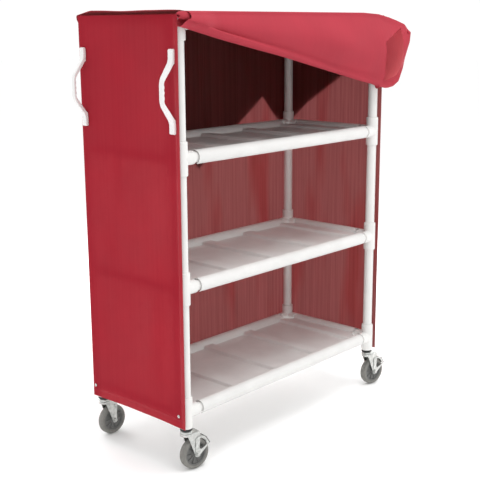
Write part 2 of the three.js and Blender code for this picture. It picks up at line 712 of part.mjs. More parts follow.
function caster({ name, sideX, sideY, turn, brake }) {
  const group = new THREE.Group();
  group.position.set(sideX * POST_X, sideY * POST_Y, 0);
  group.add(named(`caster_insert_${name}`, casterInsert(), COLLAR_PLASTIC));
  group.add(named(`caster_stem_${name}`, casterStem(), ZINC));

  const swivel = new THREE.Group();
  swivel.rotation.z = THREE.MathUtils.degToRad(turn);
  swivel.add(named(`caster_fork_${name}`, casterFork(), ZINC));
  group.add(swivel);

  const wheel = new THREE.Group();
  wheel.position.set(CASTER_TRAIL, 0, AXLE_Z);
  swivel.add(wheel);
  const outside = brake ? FORK_OUTER_Y + TOUCH_GAP + BRAKE_WALL : FORK_OUTER_Y;
  const turnedPieces = [
    named(`caster_axle_${name}`, casterAxle(outside), ZINC),
    named(`caster_tyre_${name}`, casterTyre(), TYRE_RUBBER),
    named(`caster_core_${name}`, casterCore(), CORE_PLASTIC),
  ];
  for (const piece of turnedPieces) {
    piece.rotation.x = Math.PI / 2;
    wheel.add(piece);
  }
  if (brake) wheel.add(named(`brake_lever_${name}`, brakeLever(), ZINC));
  return group;
}

// ---------------------------------------------------------------- assembly

const trolley = new THREE.Group();
trolley.add(frame());
trolley.add(shelves());
trolley.add(cover());
trolley.add(flap());
trolley.add(handles());
for (const one of CASTERS) {
  trolley.add(caster(one));
}

// Move the trolley so that the origin is the middle of its footprint, on the floor.
trolley.updateMatrixWorld(true);
const footprint = new THREE.Box3().setFromObject(trolley, true);
trolley.position.set(-(footprint.min.x + footprint.max.x) / 2, -(footprint.min.y + footprint.max.y) / 2,
  -footprint.min.z);

const group = new THREE.Group();
group.add(trolley);
export default group;
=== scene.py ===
import math

import bmesh
import bpy
import numpy as np
from bpy.props import FloatProperty, FloatVectorProperty, IntProperty, PointerProperty
from mathutils import Matrix, Vector


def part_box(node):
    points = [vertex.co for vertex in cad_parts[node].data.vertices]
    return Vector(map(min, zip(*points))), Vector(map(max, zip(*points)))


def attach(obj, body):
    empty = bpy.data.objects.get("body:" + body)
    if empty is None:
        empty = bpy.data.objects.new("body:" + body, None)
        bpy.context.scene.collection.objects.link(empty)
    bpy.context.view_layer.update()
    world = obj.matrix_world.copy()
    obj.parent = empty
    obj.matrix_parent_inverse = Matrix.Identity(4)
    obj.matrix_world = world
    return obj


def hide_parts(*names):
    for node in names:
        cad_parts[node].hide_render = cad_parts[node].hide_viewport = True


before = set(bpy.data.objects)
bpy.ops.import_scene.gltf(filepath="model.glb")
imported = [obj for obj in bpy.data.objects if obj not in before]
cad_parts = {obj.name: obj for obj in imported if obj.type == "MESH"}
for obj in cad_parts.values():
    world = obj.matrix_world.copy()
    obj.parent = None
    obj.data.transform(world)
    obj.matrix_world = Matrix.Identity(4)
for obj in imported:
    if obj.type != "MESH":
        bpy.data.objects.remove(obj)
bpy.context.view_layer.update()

bl_info = {
    "name": "Linen Trolley",
    "version": (1, 0, 0),
    "blender": (4, 5, 0),
    "location": "3D View > Sidebar > Trolley",
    "description": "Finished pieces of a linen trolley around its packed frame",
    "category": "Object",
}

# ---------------------------------------------------------------- places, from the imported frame

MM = 1000.0


def centre(node):
    """Middle of a CAD node's box, in millimetres of the shared frame."""
    low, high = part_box(node)
    return np.array((low + high) / 2) * MM


def size_of(node):
    """Length of a CAD node's box along each axis, in millimetres."""
    low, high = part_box(node)
    return np.array(high - low) * MM


LEVELS = ("bottom", "middle", "upper", "top")
SHELVES = ("bottom", "middle", "upper")
ENDS = {"left": -1, "right": 1}
FACES = {"front": -1, "rear": 1}
CORNERS = ("front_left", "rear_left", "front_right", "rear_right")
BRAKED = ("front_left", "front_right")

FIRST_POST, LAST_POST = centre("post_front_left"), centre("post_rear_right")
MIDDLE = (FIRST_POST + LAST_POST) / 2
MIDDLE[2] = 0
POST_X = (LAST_POST[0] - FIRST_POST[0]) / 2
POST_Y = (LAST_POST[1] - FIRST_POST[1]) / 2
LEVEL_Z = {level: centre(f"rail_front_{level}")[2] for level in LEVELS}
COVER_X = centre("cover_end_right")[0] + size_of("cover_end_right")[0] / 2 - MIDDLE[0]
COVER_Y = centre("cover_back")[1] + size_of("cover_back")[1] / 2 - MIDDLE[1]
COVER_FRONT = centre("cover_top")[1] - size_of("cover_top")[1] / 2 - MIDDLE[1]
COVER_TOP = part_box("cover_top")[1].z * MM
COVER_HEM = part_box("cover_back")[0].z * MM
FLAP_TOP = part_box("flap_over_top")[1].z * MM
PIPE_R = size_of("rail_front_top")[1] / 2
FITTING_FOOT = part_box("end_rail_left_bottom")[0].z * MM
FITTING_HALF = LEVEL_Z["bottom"] - FITTING_FOOT
FITTING_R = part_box("end_rail_left_top")[1].z * MM - LEVEL_Z["top"]

# ---------------------------------------------------------------- sizes and colours to change


def length(name, description, default):
    """A length that a user may change, in metres."""
    return FloatProperty(name=name, description=description, default=default, min=0.0, unit="LENGTH")


def shade(name, description, default):
    """A colour that a user may change."""
    return FloatVectorProperty(name=name, description=description, default=default, size=3,
                               subtype="COLOR", min=0.0, max=1.0)


class TrolleyPlastic(bpy.types.PropertyGroup):
    """Pipe, fittings, shelves and handles."""

    pipe_wall: length("Pipe wall", "Wall of every pipe", 0.0036)
    pipe_facets: IntProperty(name="Pipe facets", description="Flats round a pipe", default=64, min=12)
    socket_reach: length("Socket reach", "Fitting centre to the mouth of a socket", 0.058)
    mouth_rounding: length("Mouth rounding", "Rounding at the mouth of a socket", 0.0018)
    sheet_wall: length("Sheet wall", "Wall of the moulded shelf sheet", 0.0028)
    step_rounding: length("Step rounding", "Width of the rounded step beside a panel", 0.012)
    handle_rounding: length("Handle rounding", "Rounding along the edges of a handle", 0.004)
    pipe_colour: shade("Pipe colour", "White pipe and fittings", (0.80, 0.795, 0.775))
    shelf_colour: shade("Shelf colour", "White shelf sheet", (0.77, 0.765, 0.75))
    handle_colour: shade("Handle colour", "White pull handles", (0.83, 0.83, 0.82))


class TrolleyCloth(bpy.types.PropertyGroup):
    """Cover and front flap."""

    thickness: length("Cloth thickness", "Coated cloth of the cover and flap", 0.0009)
    hem: length("Hem", "Height of the hem along the foot of the cover", 0.034)
    edge_hem: length("Edge hem", "Width of the hem along an upright edge", 0.019)
    stitch_pitch: length("Stitch pitch", "From one stitch to the next", 0.0046)
    stitch_length: length("Stitch length", "Length of one stitch", 0.0031)
    stitch_width: length("Stitch width", "Thickness of the thread", 0.0007)
    stud_radius: length("Stud radius", "Press stud at the foot of an end panel", 0.0065)
    cloth_colour: shade("Cloth colour", "Red coated cloth", (0.50, 0.018, 0.038))
    # The red inner face of the flap, made pinker than the cover cloth as painted sheen.
    flap_colour_and_sheen: shade("Flap colour", "Red inner face of the flap, turned out", (0.50, 0.050, 0.074))
    # Dull inner face of the cover; its dark brown is partly painted shade of the dim inside.
    lining_and_shade_colour: shade("Lining colour", "Dull inner face of the cover", (0.075, 0.036, 0.032))
    glow_colour: shade("Glow colour", "Light that comes through one face of the cloth", (0.84, 0.43, 0.43))
    # Painted shade of folds: a redder, darker colour for the light through the cloth, laid on in a crease
    # pattern.
    fold_shade_colour: shade("Fold colour", "Light that comes through where the cloth creases", (0.80, 0.18, 0.19))
    thread_colour: shade("Thread colour", "Sewing thread", (0.62, 0.16, 0.19))
    see_through: FloatProperty(name="See through", default=0.40, min=0.0, max=1.0,
                               description="Share of light that passes one face of the cloth")


class TrolleyCaster(bpy.types.PropertyGroup):
    """Casters and brakes."""

    ball_count: IntProperty(name="Balls", description="Balls in a swivel race", default=16, min=6)
    ball_radius: length("Ball radius", "One ball of the swivel race", 0.0024)
    fork_wall: length("Fork wall", "Sheet steel of the fork", 0.003)
    zinc_colour: shade("Zinc colour", "Bright plated steel", (0.62, 0.63, 0.61))
    tyre_colour: shade("Tyre colour", "Grey rubber", (0.20, 0.195, 0.18))
    core_colour: shade("Core colour", "Grey wheel core", (0.16, 0.16, 0.155))
    collar_colour: shade("Collar colour", "Black collar and pedal pad", (0.018, 0.018, 0.018))


class TrolleyStage(bpy.types.PropertyGroup):
    """Floor, light and camera."""

    floor_colour: shade("Floor colour", "Pale floor", (0.98, 0.98, 0.98))
    sky: FloatProperty(name="Sky", description="Strength of the white surroundings", default=1.03, min=0.0)
    lens: FloatProperty(name="Lens", description="Focal length", default=70.71, min=1.0,
                        subtype="DISTANCE_CAMERA")


# ---------------------------------------------------------------- meshes

# Edges steeper than these angles, in degrees, stay sharp.
SHARP = 35.0
SHEET_SHARP = 40.0
CLOTH_SHARP = 50.0
SKIN_SHARP = 80.0

# Points nearer than this, in metres, are one.
SAME_POINT = 1e-7

CORNER_SHARE = 0.45
MITRE_LEAST = 0.35
CAP_FACETS = 24


def place(points):
    """Points in millimetres about the middle of the four posts, as metres of the shared frame."""
    return (np.asarray(points, float) + MIDDLE) / MM


def in_scene(name, data):
    """A new object of the scene that holds this data."""
    thing = bpy.data.objects.new(name, data)
    bpy.context.scene.collection.objects.link(thing)
    return thing


def mesh_object(name, points, faces):
    """A new object at the origin whose mesh holds these points, in metres of the shared frame."""
    mesh = bpy.data.meshes.new(name)
    mesh.from_pydata(np.asarray(points, float).tolist(), [], faces)
    mesh.validate()
    piece = in_scene(name, mesh)
    soften(piece)
    return piece


def points_of(mesh):
    """The points of a mesh, three numbers in a row."""
    points = np.empty(len(mesh.vertices) * 3, np.float32)
    mesh.vertices.foreach_get("co", points)
    return points.reshape(-1, 3)


def put_points(mesh, points):
    """Give a mesh new places for its points."""
    mesh.vertices.foreach_set("co", points.astype(np.float32).ravel())
    mesh.update()


def soften(piece, angle=SHARP):
    """Smooth shading, kept sharp across edges steeper than the angle."""
    piece.data.shade_smooth()
    piece.data.set_sharp_from_angle(angle=math.radians(angle))


def tidy(piece, merge=SAME_POINT, angle=SHARP):
    """Merge doubled points and turn every face outwards."""
    cage = bmesh.new()
    cage.from_mesh(piece.data)
    bmesh.ops.remove_doubles(cage, verts=cage.verts, dist=merge)
    bmesh.ops.recalc_face_normals(cage, faces=cage.faces)
    cage.to_mesh(piece.data)
    cage.free()
    soften(piece, angle)
    return piece


def settle(piece, angle=SHARP):
    """Turn a piece's modifiers into a plain mesh and remove them."""
    bpy.context.view_layer.update()
    evaluated = piece.evaluated_get(bpy.context.evaluated_depsgraph_get())
    plain = bpy.data.meshes.new_from_object(evaluated)
    piece.modifiers.clear()
    piece.data = plain
    plain.name = piece.name
    soften(piece, angle)
    return piece


def lathe(profile, facets, closed=True):
    """Points and faces of a profile of (radius, height) turned about Z; closed joins its two ends."""
    profile = [(max(radius, 0.0), height) for radius, height in profile]
    angles = np.arange(facets) * 2 * math.pi / facets
    points = [(r * math.cos(a), r * math.sin(a), z) for r, z in profile for a in angles]
    rows = len(profile)
    faces = []
    for i in range(rows if closed else rows - 1):
        j = (i + 1) % rows
        for k in range(facets):
            m = (k + 1) % facets
            faces.append((i * facets + k, i * facets + m, j * facets + m, j * facets + k))
    return np.array(points), faces


def grid_faces(rows, columns, first=0):
    """Quads of a grid whose points are listed row by row."""
    return [(first + i * columns + j, first + i * columns + j + 1,
             first + (i + 1) * columns + j + 1, first + (i + 1) * columns + j)
            for i in range(rows - 1) for j in range(columns - 1)]


def turned_to(points, axis):
    """Points about Z turned so that their Z lies along the axis 'x', 'y' or 'z'."""
    points = np.asarray(points, float)
    if axis == "x":
        return points[:, [2, 0, 1]]
    if axis == "y":
        return points[:, [1, 2, 0]]
    return points


def rounded(profile_points, radius, steps=4):
    """A closed outline of (u, v) points with its corners rounded."""
    points = np.asarray(profile_points, float)
    count = len(points)
    out = []
    for i in range(count):
        before, here, after = points[i - 1], points[i], points[(i + 1) % count]
        back, ahead = before - here, after - here
        reach = min(radius, np.linalg.norm(back) * CORNER_SHARE, np.linalg.norm(ahead) * CORNER_SHARE)
        start = here + back / np.linalg.norm(back) * reach
        end = here + ahead / np.linalg.norm(ahead) * reach
        for step in range(steps + 1):
            t = step / steps
            out.append((1 - t) ** 2 * start + 2 * t * (1 - t) * here + t * t * end)
    return np.array(out)


def plate(outline, near, far, axis="y"):
    """Points and faces of an outline of (u, v) pushed along Y, with v as Z, or along Z, with v as Y."""
    outline = np.asarray(outline, float)
    count = len(outline)
    if axis == "y":
        layers = [[(u, depth, v) for u, v in outline] for depth in (near, far)]
    else:
        layers = [[(u, v, depth) for u, v in outline] for depth in (near, far)]
    points = np.array(layers[0] + layers[1])
    faces = [tuple(range(count))[::-1], tuple(range(count, 2 * count))]
    faces += [(i, (i + 1) % count, count + (i + 1) % count, count + i) for i in range(count)]
    return points, faces


def gather(parts):
    """Several (points, faces) as one."""
    points, faces, first = [], [], 0
    for some, quads in parts:
        points.append(np.asarray(some, float))
        faces += [tuple(first + index for index in face) for face in quads]
        first += len(some)
    return np.concatenate(points), faces


def inset(outline, distance):
    """A closed outline moved inwards by a distance."""
    points = np.asarray(outline, float)
    ahead = np.roll(points, -1, 0) - points
    area = np.sum(points[:, 0] * np.roll(points[:, 1], -1) - np.roll(points[:, 0], -1) * points[:, 1])
    normals = np.stack([-ahead[:, 1], ahead[:, 0]], 1) * math.copysign(1.0, area)
    normals /= np.maximum(np.linalg.norm(ahead, axis=1), 1e-9)[:, None]
    both = normals + np.roll(normals, 1, 0)
    lengths = np.maximum(np.sum(both * both, 1) / 2, MITRE_LEAST)
    return points + both / lengths[:, None] * distance


def pillow(outline, near, far, radius, steps=5):
    """An outline of (u, v) pushed along Y, with its two rims rounded."""
    layers = [(near + radius * (1 - math.cos(t)), radius * (1 - math.sin(t)))
              for t in np.linspace(0, math.pi / 2, steps)]
    layers += [(far + near - depth, edge) for depth, edge in reversed(layers)]
    rings = [[(u, depth, v) for u, v in inset(outline, edge)] for depth, edge in layers]
    count = len(outline)
    faces = [(i * count + k, i * count + (k + 1) % count,
              (i + 1) * count + (k + 1) % count, (i + 1) * count + k)
             for i in range(len(rings) - 1) for k in range(count)]
    last = (len(rings) - 1) * count
    faces += [tuple(range(count))[::-1], tuple(range(last, last + count))]
    return np.array([point for ring in rings for point in ring]), faces


def round_cap(name, profile, side):
    """A small turned piece that faces along X, to the side asked."""
    points, faces = lathe(profile, CAP_FACETS, closed=False)
    points = points[:, [2, 1, 0]] * np.array([side, 1, 1])
    return tidy(mesh_object(name, points / MM, faces))


def reskinned(piece, voxel, rounds):
    """Give a piece one even skin and round its edges off."""
    remesh = piece.modifiers.new("Even skin", "REMESH")
    remesh.mode = "VOXEL"
    remesh.voxel_size = voxel
    remesh.use_smooth_shade = True
    smooth = piece.modifiers.new("Rounded edges", "SMOOTH")
    smooth.factor = 0.5
    smooth.iterations = rounds
    return settle(piece, SKIN_SHARP)


def cut_out(piece, tool):
    """Cut a helper's shape out of a piece and remove the helper."""
    cut = piece.modifiers.new("Cut out", "BOOLEAN")
    cut.operation = "DIFFERENCE"
    cut.solver = "EXACT"
    cut.use_self = True
    cut.object = tool
    settle(piece)
    discard(tool)


def discard(*pieces):
    """Remove helper objects."""
    for piece in pieces:
        bpy.data.objects.remove(piece, do_unlink=True)


def ready(piece, body, slot, finish, *nodes):
    """Give a piece its finish and its body, and hide the CAD nodes it stands for; the slot is not used."""
    if finish is not None:
        piece.data.materials.clear()
        piece.data.materials.append(finish)
    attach(piece, body)
    if nodes:
        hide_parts(*nodes)
    return piece


def blend_between(xs, table):
    """Piecewise straight values from a table of (x, value) pairs."""
    keys, values = zip(*table)
    return np.interp(xs, keys, values)


def eased(t):
    """Zero to one with a soft start and end."""
    t = np.clip(t, 0.0, 1.0)
    return t * t * (3 - 2 * t)


# ---------------------------------------------------------------- materials

# The part of the fold in front where the cloth lies in one layer gets a painted glow: the flap is made far
# more see-through there than elsewhere. It is on the inner side of every line a * x + b * z = limit, in
# millimetres about the posts.
PAINTED_GLOW_EDGES_MM = ((0.413, -1.0, -1380.3), (1.0, 0.0, 549.0), (1.0, 0.541, 1405.3), (1.0, 0.118, 761.8),
                (-1.0, -0.081, -856.0), (-1.0, 0.517, 57.5), (-0.312, 1.0, 1250.0))
PAINTED_GLOW_EDGES = [(a, b, (limit + a * MIDDLE[0]) / MM) for a, b, limit in PAINTED_GLOW_EDGES_MM]
PAINTED_GLOW_FRONT = (COVER_FRONT + MIDDLE[1] + 6.0) / MM
PAINTED_GLOW_BLUR = 0.001
PAINTED_GLOW_EDGE_BLUR = 0.0015
PAINTED_GLOW_THROUGH = 0.64

# Cloth, on UVs in metres.
WARP_SCALE = (1.0, 0.012, 1.0)
STREAK_SCALE = 85.0
CLOUD_SCALE = 5.0
WEAVE_SCALE = 420.0
# Scale and turn of the painted fold shade pattern.
FOLD_SHADE_SCALE = (1.0, 0.22, 1.0)
FOLD_SHADE_TURN = 0.16


class Nodes:
    """A short way to write a material's node tree."""

    def __init__(self, name):
        self.material = bpy.data.materials.new(name)
        self.material.use_nodes = True
        self.tree = self.material.node_tree
        self.tree.nodes.clear()
        self.output = self.add("ShaderNodeOutputMaterial")

    def add(self, kind, inputs=None, **settings):
        """A node with these settings, and these plain values in its inputs."""
        node = self.tree.nodes.new(kind)
        for key, value in settings.items():
            setattr(node, key, value)
        for label, value in (inputs or {}).items():
            node.inputs[label].default_value = value
        return node

    def link(self, source, target):
        self.tree.links.new(source, target)

    def coordinates(self, scale=(1.0, 1.0, 1.0), kind="Object", turn=0.0):
        """Places on the piece, scaled and turned."""
        source = self.add("ShaderNodeTexCoord")
        mapping = self.add("ShaderNodeMapping", {"Scale": scale, "Rotation": (0.0, 0.0, turn)})
        self.link(source.outputs[kind], mapping.inputs["Vector"])
        return mapping.outputs["Vector"]

    def noise(self, vector, scale, detail=3.0, roughness=0.5):
        node = self.add("ShaderNodeTexNoise", {"Scale": scale, "Detail": detail, "Roughness": roughness})
        self.link(vector, node.inputs["Vector"])
        return node.outputs["Fac"]

    def spread(self, value, low, high, from_low=0.3, from_high=0.7):
        """A value brought from one range to another, and held within it."""
        node = self.add("ShaderNodeMapRange", {"From Min": from_low, "From Max": from_high,
                                               "To Min": low, "To Max": high})
        self.link(value, node.inputs["Value"])
        return node.outputs["Result"]

    def mixed(self, factor, one, other):
        """A colour between two, each a plain colour or the output of a node."""
        node = self.add("ShaderNodeMix", data_type="RGBA")
        self.link(factor, node.inputs["Factor"])
        colours = [socket for socket in node.inputs if socket.type == "RGBA"]
        for socket, value in zip(colours, (one, other)):
            if isinstance(value, tuple):
                socket.default_value = (*value, 1.0)
            else:
                self.link(value, socket)
        return [out for out in node.outputs if out.type == "RGBA"][0]

    def mottled(self, pattern, one, other):
        """Two colours in the patches of a pattern."""
        return self.mixed(self.spread(pattern, 0.0, 1.0), one, other)

    def bump(self, height, strength, distance):
        node = self.add("ShaderNodeBump", {"Strength": strength, "Distance": distance})
        self.link(height, node.inputs["Height"])
        return node.outputs["Normal"]

    def math(self, operation, one, other):
        """A sum or product of two values, each a plain number or the output of a node."""
        node = self.add("ShaderNodeMath", operation=operation)
        for socket, value in zip(node.inputs, (one, other)):
            if isinstance(value, (int, float)):
                socket.default_value = value
            else:
                self.link(value, socket)
        return node.outputs["Value"]

    def surface(self, colour, roughness, normal, inputs=None):
        """A Principled shader with linked colour, roughness and normal, and plain values elsewhere."""
        shader = self.add("ShaderNodeBsdfPrincipled", inputs)
        self.link(colour, shader.inputs["Base Color"])
        self.link(roughness, shader.inputs["Roughness"])
        self.link(normal, shader.inputs["Normal"])
        return shader.outputs["BSDF"]

    def finish(self, shader):
        self.link(shader, self.output.inputs["Surface"])
        return self.material


def tinted(colour, factor):
    """A colour made lighter or darker."""
    return tuple(min(1.0, channel * factor) for channel in colour)


def plastic(name, colour, roughness, grain=900.0, bump=0.06, coat=0.0, wear=0.93):
    """Moulded plastic: faint mottling, a fine skin and a slightly uneven shine."""
    nodes = Nodes(name)
    where = nodes.coordinates()
    cloudy = nodes.noise(where, 14.0, 4.0)
    fine = nodes.noise(where, grain, 2.0)
    return nodes.finish(nodes.surface(nodes.mottled(cloudy, tinted(colour, wear), colour),
                                      nodes.spread(cloudy, roughness - 0.05, roughness + 0.07),
                                      nodes.bump(fine, bump, 0.0004),
                                      {"Coat Weight": coat, "Coat Roughness": 0.2}))


def plated(name, colour, roughness=0.3):
    """Bright zinc plate: cloudy patches, fine drawn lines and dulled spots."""
    nodes = Nodes(name)
    cloudy = nodes.noise(nodes.coordinates(), 70.0, 4.0)
    lines = nodes.noise(nodes.coordinates((1.0, 1.0, 14.0)), 260.0, 3.0)
    return nodes.finish(nodes.surface(nodes.mottled(cloudy, tinted(colour, 0.72), tinted(colour, 1.12)),
                                      nodes.spread(lines, roughness - 0.08, roughness + 0.12),
                                      nodes.bump(lines, 0.10, 0.0003), {"Metallic": 1.0}))


def rubber(name, colour):
    """Grey non-marking rubber with dusty scuffs."""
    nodes = Nodes(name)
    where = nodes.coordinates()
    dust = nodes.noise(where, 45.0, 5.0, 0.65)
    fine = nodes.noise(where, 1400.0, 2.0)
    return nodes.finish(nodes.surface(nodes.mottled(dust, tinted(colour, 0.82), tinted(colour, 1.2)),
                                      nodes.spread(dust, 0.62, 0.82), nodes.bump(fine, 0.12, 0.0004)))


def weave(nodes, flat):
    """Height of the threads, as two crossed rows of bands."""
    bands = []
    for direction in ("X", "Y"):
        wave = nodes.add("ShaderNodeTexWave", {"Scale": WEAVE_SCALE, "Distortion": 0.6},
                         wave_type="BANDS", bands_direction=direction)
        nodes.link(flat, wave.inputs["Vector"])
        bands.append(wave.outputs["Fac"])
    return nodes.math("MULTIPLY", *bands)


def light_through(nodes, streaks, streaky, fold_shaded):
    """Colour of the light that passes the cloth: streaked along the warp, and redder and darker in a crease
    pattern of painted fold shade.
    """
    cloth = bpy.context.scene.trolley_cloth

    def streaked(colour):
        return nodes.mottled(streaks, tinted(colour, 1 - streaky), tinted(colour, 1 + streaky))

    light = streaked(cloth.glow_colour)
    if fold_shaded:
        # Painted shade of folds: a noise pattern of creases that the mesh does not have.
        soft = nodes.noise(nodes.coordinates(FOLD_SHADE_SCALE, "UV", FOLD_SHADE_TURN), 5.5, 2.0, 0.45)
        light = nodes.mixed(nodes.spread(soft, 0.0, 0.85, 0.50, 0.66), light, streaked(cloth.fold_shade_colour))
    return light


def painted_glow_share(nodes, through):
    """Share of light that passes the flap: far more of it in the region where the cloth lies in one layer, a
    painted glow.
    """
    where = nodes.add("ShaderNodeSeparateXYZ")
    nodes.link(nodes.coordinates(), where.inputs[0])
    inside = nodes.spread(where.outputs["Y"], 1.0, 0.0,
                          PAINTED_GLOW_FRONT - PAINTED_GLOW_BLUR, PAINTED_GLOW_FRONT + PAINTED_GLOW_BLUR)
    for along_x, along_z, limit in PAINTED_GLOW_EDGES:
        reach = nodes.math("ADD", nodes.math("MULTIPLY", where.outputs["X"], along_x),
                           nodes.math("MULTIPLY", where.outputs["Z"], along_z))
        step = nodes.spread(reach, 0.0, 1.0, limit - PAINTED_GLOW_EDGE_BLUR, limit + PAINTED_GLOW_EDGE_BLUR)
        inside = nodes.math("MULTIPLY", inside, step)
    return nodes.spread(inside, through, PAINTED_GLOW_THROUGH, 0.0, 1.0)


def woven(name, face, share=1.0, sheen=0.02, specular=0.12, streaky=0.05, fold_shaded=False, painted_glow=False):
    """Woven cloth with a matt coat, on the piece's own UV map in metres; light comes through it."""
    nodes = Nodes(name)
    through = bpy.context.scene.trolley_cloth.see_through * share
    streaks = nodes.noise(nodes.coordinates(WARP_SCALE, "UV"), STREAK_SCALE, 5.0, 0.75)
    flat = nodes.coordinates(kind="UV")
    clouds = nodes.noise(flat, CLOUD_SCALE, 4.0)
    surface = nodes.surface(nodes.mottled(clouds, tinted(face, 0.94), tinted(face, 1.05)),
                            nodes.spread(clouds, 0.66, 0.78), nodes.bump(weave(nodes, flat), 0.25, 0.0002),
                            {"Sheen Weight": sheen, "Sheen Roughness": 0.5, "Specular IOR Level": specular})
    passing = nodes.add("ShaderNodeBsdfTranslucent")
    nodes.link(light_through(nodes, streaks, streaky, fold_shaded), passing.inputs["Color"])
    both = nodes.add("ShaderNodeMixShader", {"Fac": through})
    # Painted glow: the flap lets far more light through in one listed region than elsewhere.
    if painted_glow:
        nodes.link(painted_glow_share(nodes, through), both.inputs["Fac"])
    nodes.link(surface, both.inputs[1])
    nodes.link(passing.outputs["BSDF"], both.inputs[2])
    return nodes.finish(both.outputs["Shader"])


# Each finish: the function that makes it, where its colour is kept, and its other values.
FINISHES = {
    "white pipe": (plastic, "trolley_plastic", "pipe_colour", {"roughness": 0.36, "coat": 0.12}),
    "shelf sheet": (plastic, "trolley_plastic", "shelf_colour",
                    {"roughness": 0.42, "grain": 700.0, "bump": 0.12}),
    "handle moulding": (plastic, "trolley_plastic", "handle_colour", {"roughness": 0.34, "coat": 0.15}),
    "black plastic": (plastic, "trolley_caster", "collar_colour", {"roughness": 0.5, "wear": 0.7}),
    "wheel core": (plastic, "trolley_caster", "core_colour", {"roughness": 0.55, "wear": 0.85}),
    "grey rubber": (rubber, "trolley_caster", "tyre_colour", {}),
    "bright zinc": (plated, "trolley_caster", "zinc_colour", {}),
    "cover cloth": (woven, "trolley_cloth", "cloth_colour", {}),
    # The lining carries the painted fold shade.
    "cover lining": (woven, "trolley_cloth", "lining_and_shade_colour",
                     {"sheen": 0.0, "specular": 0.1, "streaky": 0.28, "fold_shaded": True}),
    # The flap cloth carries the painted glow region.
    "flap cloth": (woven, "trolley_cloth", "flap_colour_and_sheen", {"share": 0.5, "painted_glow": True}),
    "thread": (plastic, "trolley_cloth", "thread_colour", {"roughness": 0.7, "grain": 2000.0, "bump": 0.3}),
}
MATERIALS = {}


def material(name):
    """A finish by name, made the first time it is asked for."""
    if name not in MATERIALS:
        maker, group, key, values = FINISHES[name]
        colour = tuple(getattr(getattr(bpy.context.scene, group), key))
        MATERIALS[name] = maker(name, colour, **values)
    return MATERIALS[name]

# ---------------------------------------------------------------- geometry node trees


class Tree:
    """A short way to write a geometry node tree with named inputs."""

    def __init__(self, name, inputs):
        self.tree = bpy.data.node_groups.new(name, "GeometryNodeTree")
        self.tree.interface.new_socket("Geometry", in_out="INPUT", socket_type="NodeSocketGeometry")
        for label, kind in inputs:
            self.tree.interface.new_socket(label, in_out="INPUT", socket_type=kind)
        self.tree.interface.new_socket("Geometry", in_out="OUTPUT", socket_type="NodeSocketGeometry")
        self.entry = self.tree.nodes.new("NodeGroupInput")
        self.exit = self.tree.nodes.new("NodeGroupOutput")

    def add(self, kind, links=None, **settings):
        """A node with these settings, whose inputs are plain values or outputs of other nodes."""
        node = self.tree.nodes.new(kind)
        for key, value in settings.items():
            setattr(node, key, value)
        for label, source in (links or {}).items():
            if hasattr(source, "is_linked"):
                self.tree.links.new(source, node.inputs[label])
            else:
                node.inputs[label].default_value = source
        return node

    def given(self, label):
        return self.entry.outputs[label]

    def close(self, geometry):
        """End the tree: make the copies real and give them their material."""
        real = self.add("GeometryNodeRealizeInstances", {"Geometry": geometry})
        coloured = self.add("GeometryNodeSetMaterial", {"Geometry": real.outputs[0],
                                                        "Material": self.given("Material")})
        self.tree.links.new(coloured.outputs[0], self.exit.inputs[0])
        return self.tree


TREES = {}
THREAD_SIDES = 5
BALL_SEGMENTS, BALL_RINGS = 12, 8


def pipe_tree():
    """A hollow pipe about Z, from zero to its length."""
    tree = Tree("Cut pipe", [("Length", "NodeSocketFloat"), ("Outer Radius", "NodeSocketFloat"),
                             ("Wall", "NodeSocketFloat"), ("Facets", "NodeSocketInt"),
                             ("Material", "NodeSocketMaterial")])
    start = tree.add("ShaderNodeCombineXYZ", {"Z": 0.0})
    end = tree.add("ShaderNodeCombineXYZ", {"Z": tree.given("Length")})
    line = tree.add("GeometryNodeCurvePrimitiveLine", {"Start": start.outputs[0], "End": end.outputs[0]})
    inner = tree.add("ShaderNodeMath", {0: tree.given("Outer Radius"), 1: tree.given("Wall")},
                     operation="SUBTRACT")
    walls = []
    for radius in (tree.given("Outer Radius"), inner.outputs[0]):
        ring = tree.add("GeometryNodeCurvePrimitiveCircle",
                        {"Resolution": tree.given("Facets"), "Radius": radius})
        tube = tree.add("GeometryNodeCurveToMesh",
                        {"Curve": line.outputs[0], "Profile Curve": ring.outputs[0], "Fill Caps": True})
        walls.append(tube.outputs[0])
    hollow = tree.add("GeometryNodeMeshBoolean", {"Mesh 1": walls[0], "Mesh 2": walls[1]},
                      operation="DIFFERENCE")
    return tree.close(hollow.outputs["Mesh"])


def stitch_tree():
    """Short lengths of thread, one after another along a path of edges."""
    tree = Tree("Stitch row", [("Pitch", "NodeSocketFloat"), ("Stitch Length", "NodeSocketFloat"),
                               ("Thread Radius", "NodeSocketFloat"), ("Material", "NodeSocketMaterial")])
    path = tree.add("GeometryNodeMeshToCurve", {"Mesh": tree.given("Geometry")})
    even = tree.add("GeometryNodeResampleCurve", {"Curve": path.outputs[0], "Length": tree.given("Pitch")},
                    mode="LENGTH")
    spots = tree.add("GeometryNodeCurveToPoints", {"Curve": even.outputs[0]}, mode="EVALUATED")
    thread = tree.add("GeometryNodeMeshCylinder",
                      {"Vertices": THREAD_SIDES, "Radius": tree.given("Thread Radius"),
                       "Depth": tree.given("Stitch Length")})
    along = tree.add("FunctionNodeAlignRotationToVector", {"Vector": spots.outputs["Tangent"]}, axis="Z")
    row = tree.add("GeometryNodeInstanceOnPoints", {"Points": spots.outputs[0], "Instance": thread.outputs[0],
                                                    "Rotation": along.outputs[0]})
    return tree.close(row.outputs[0])


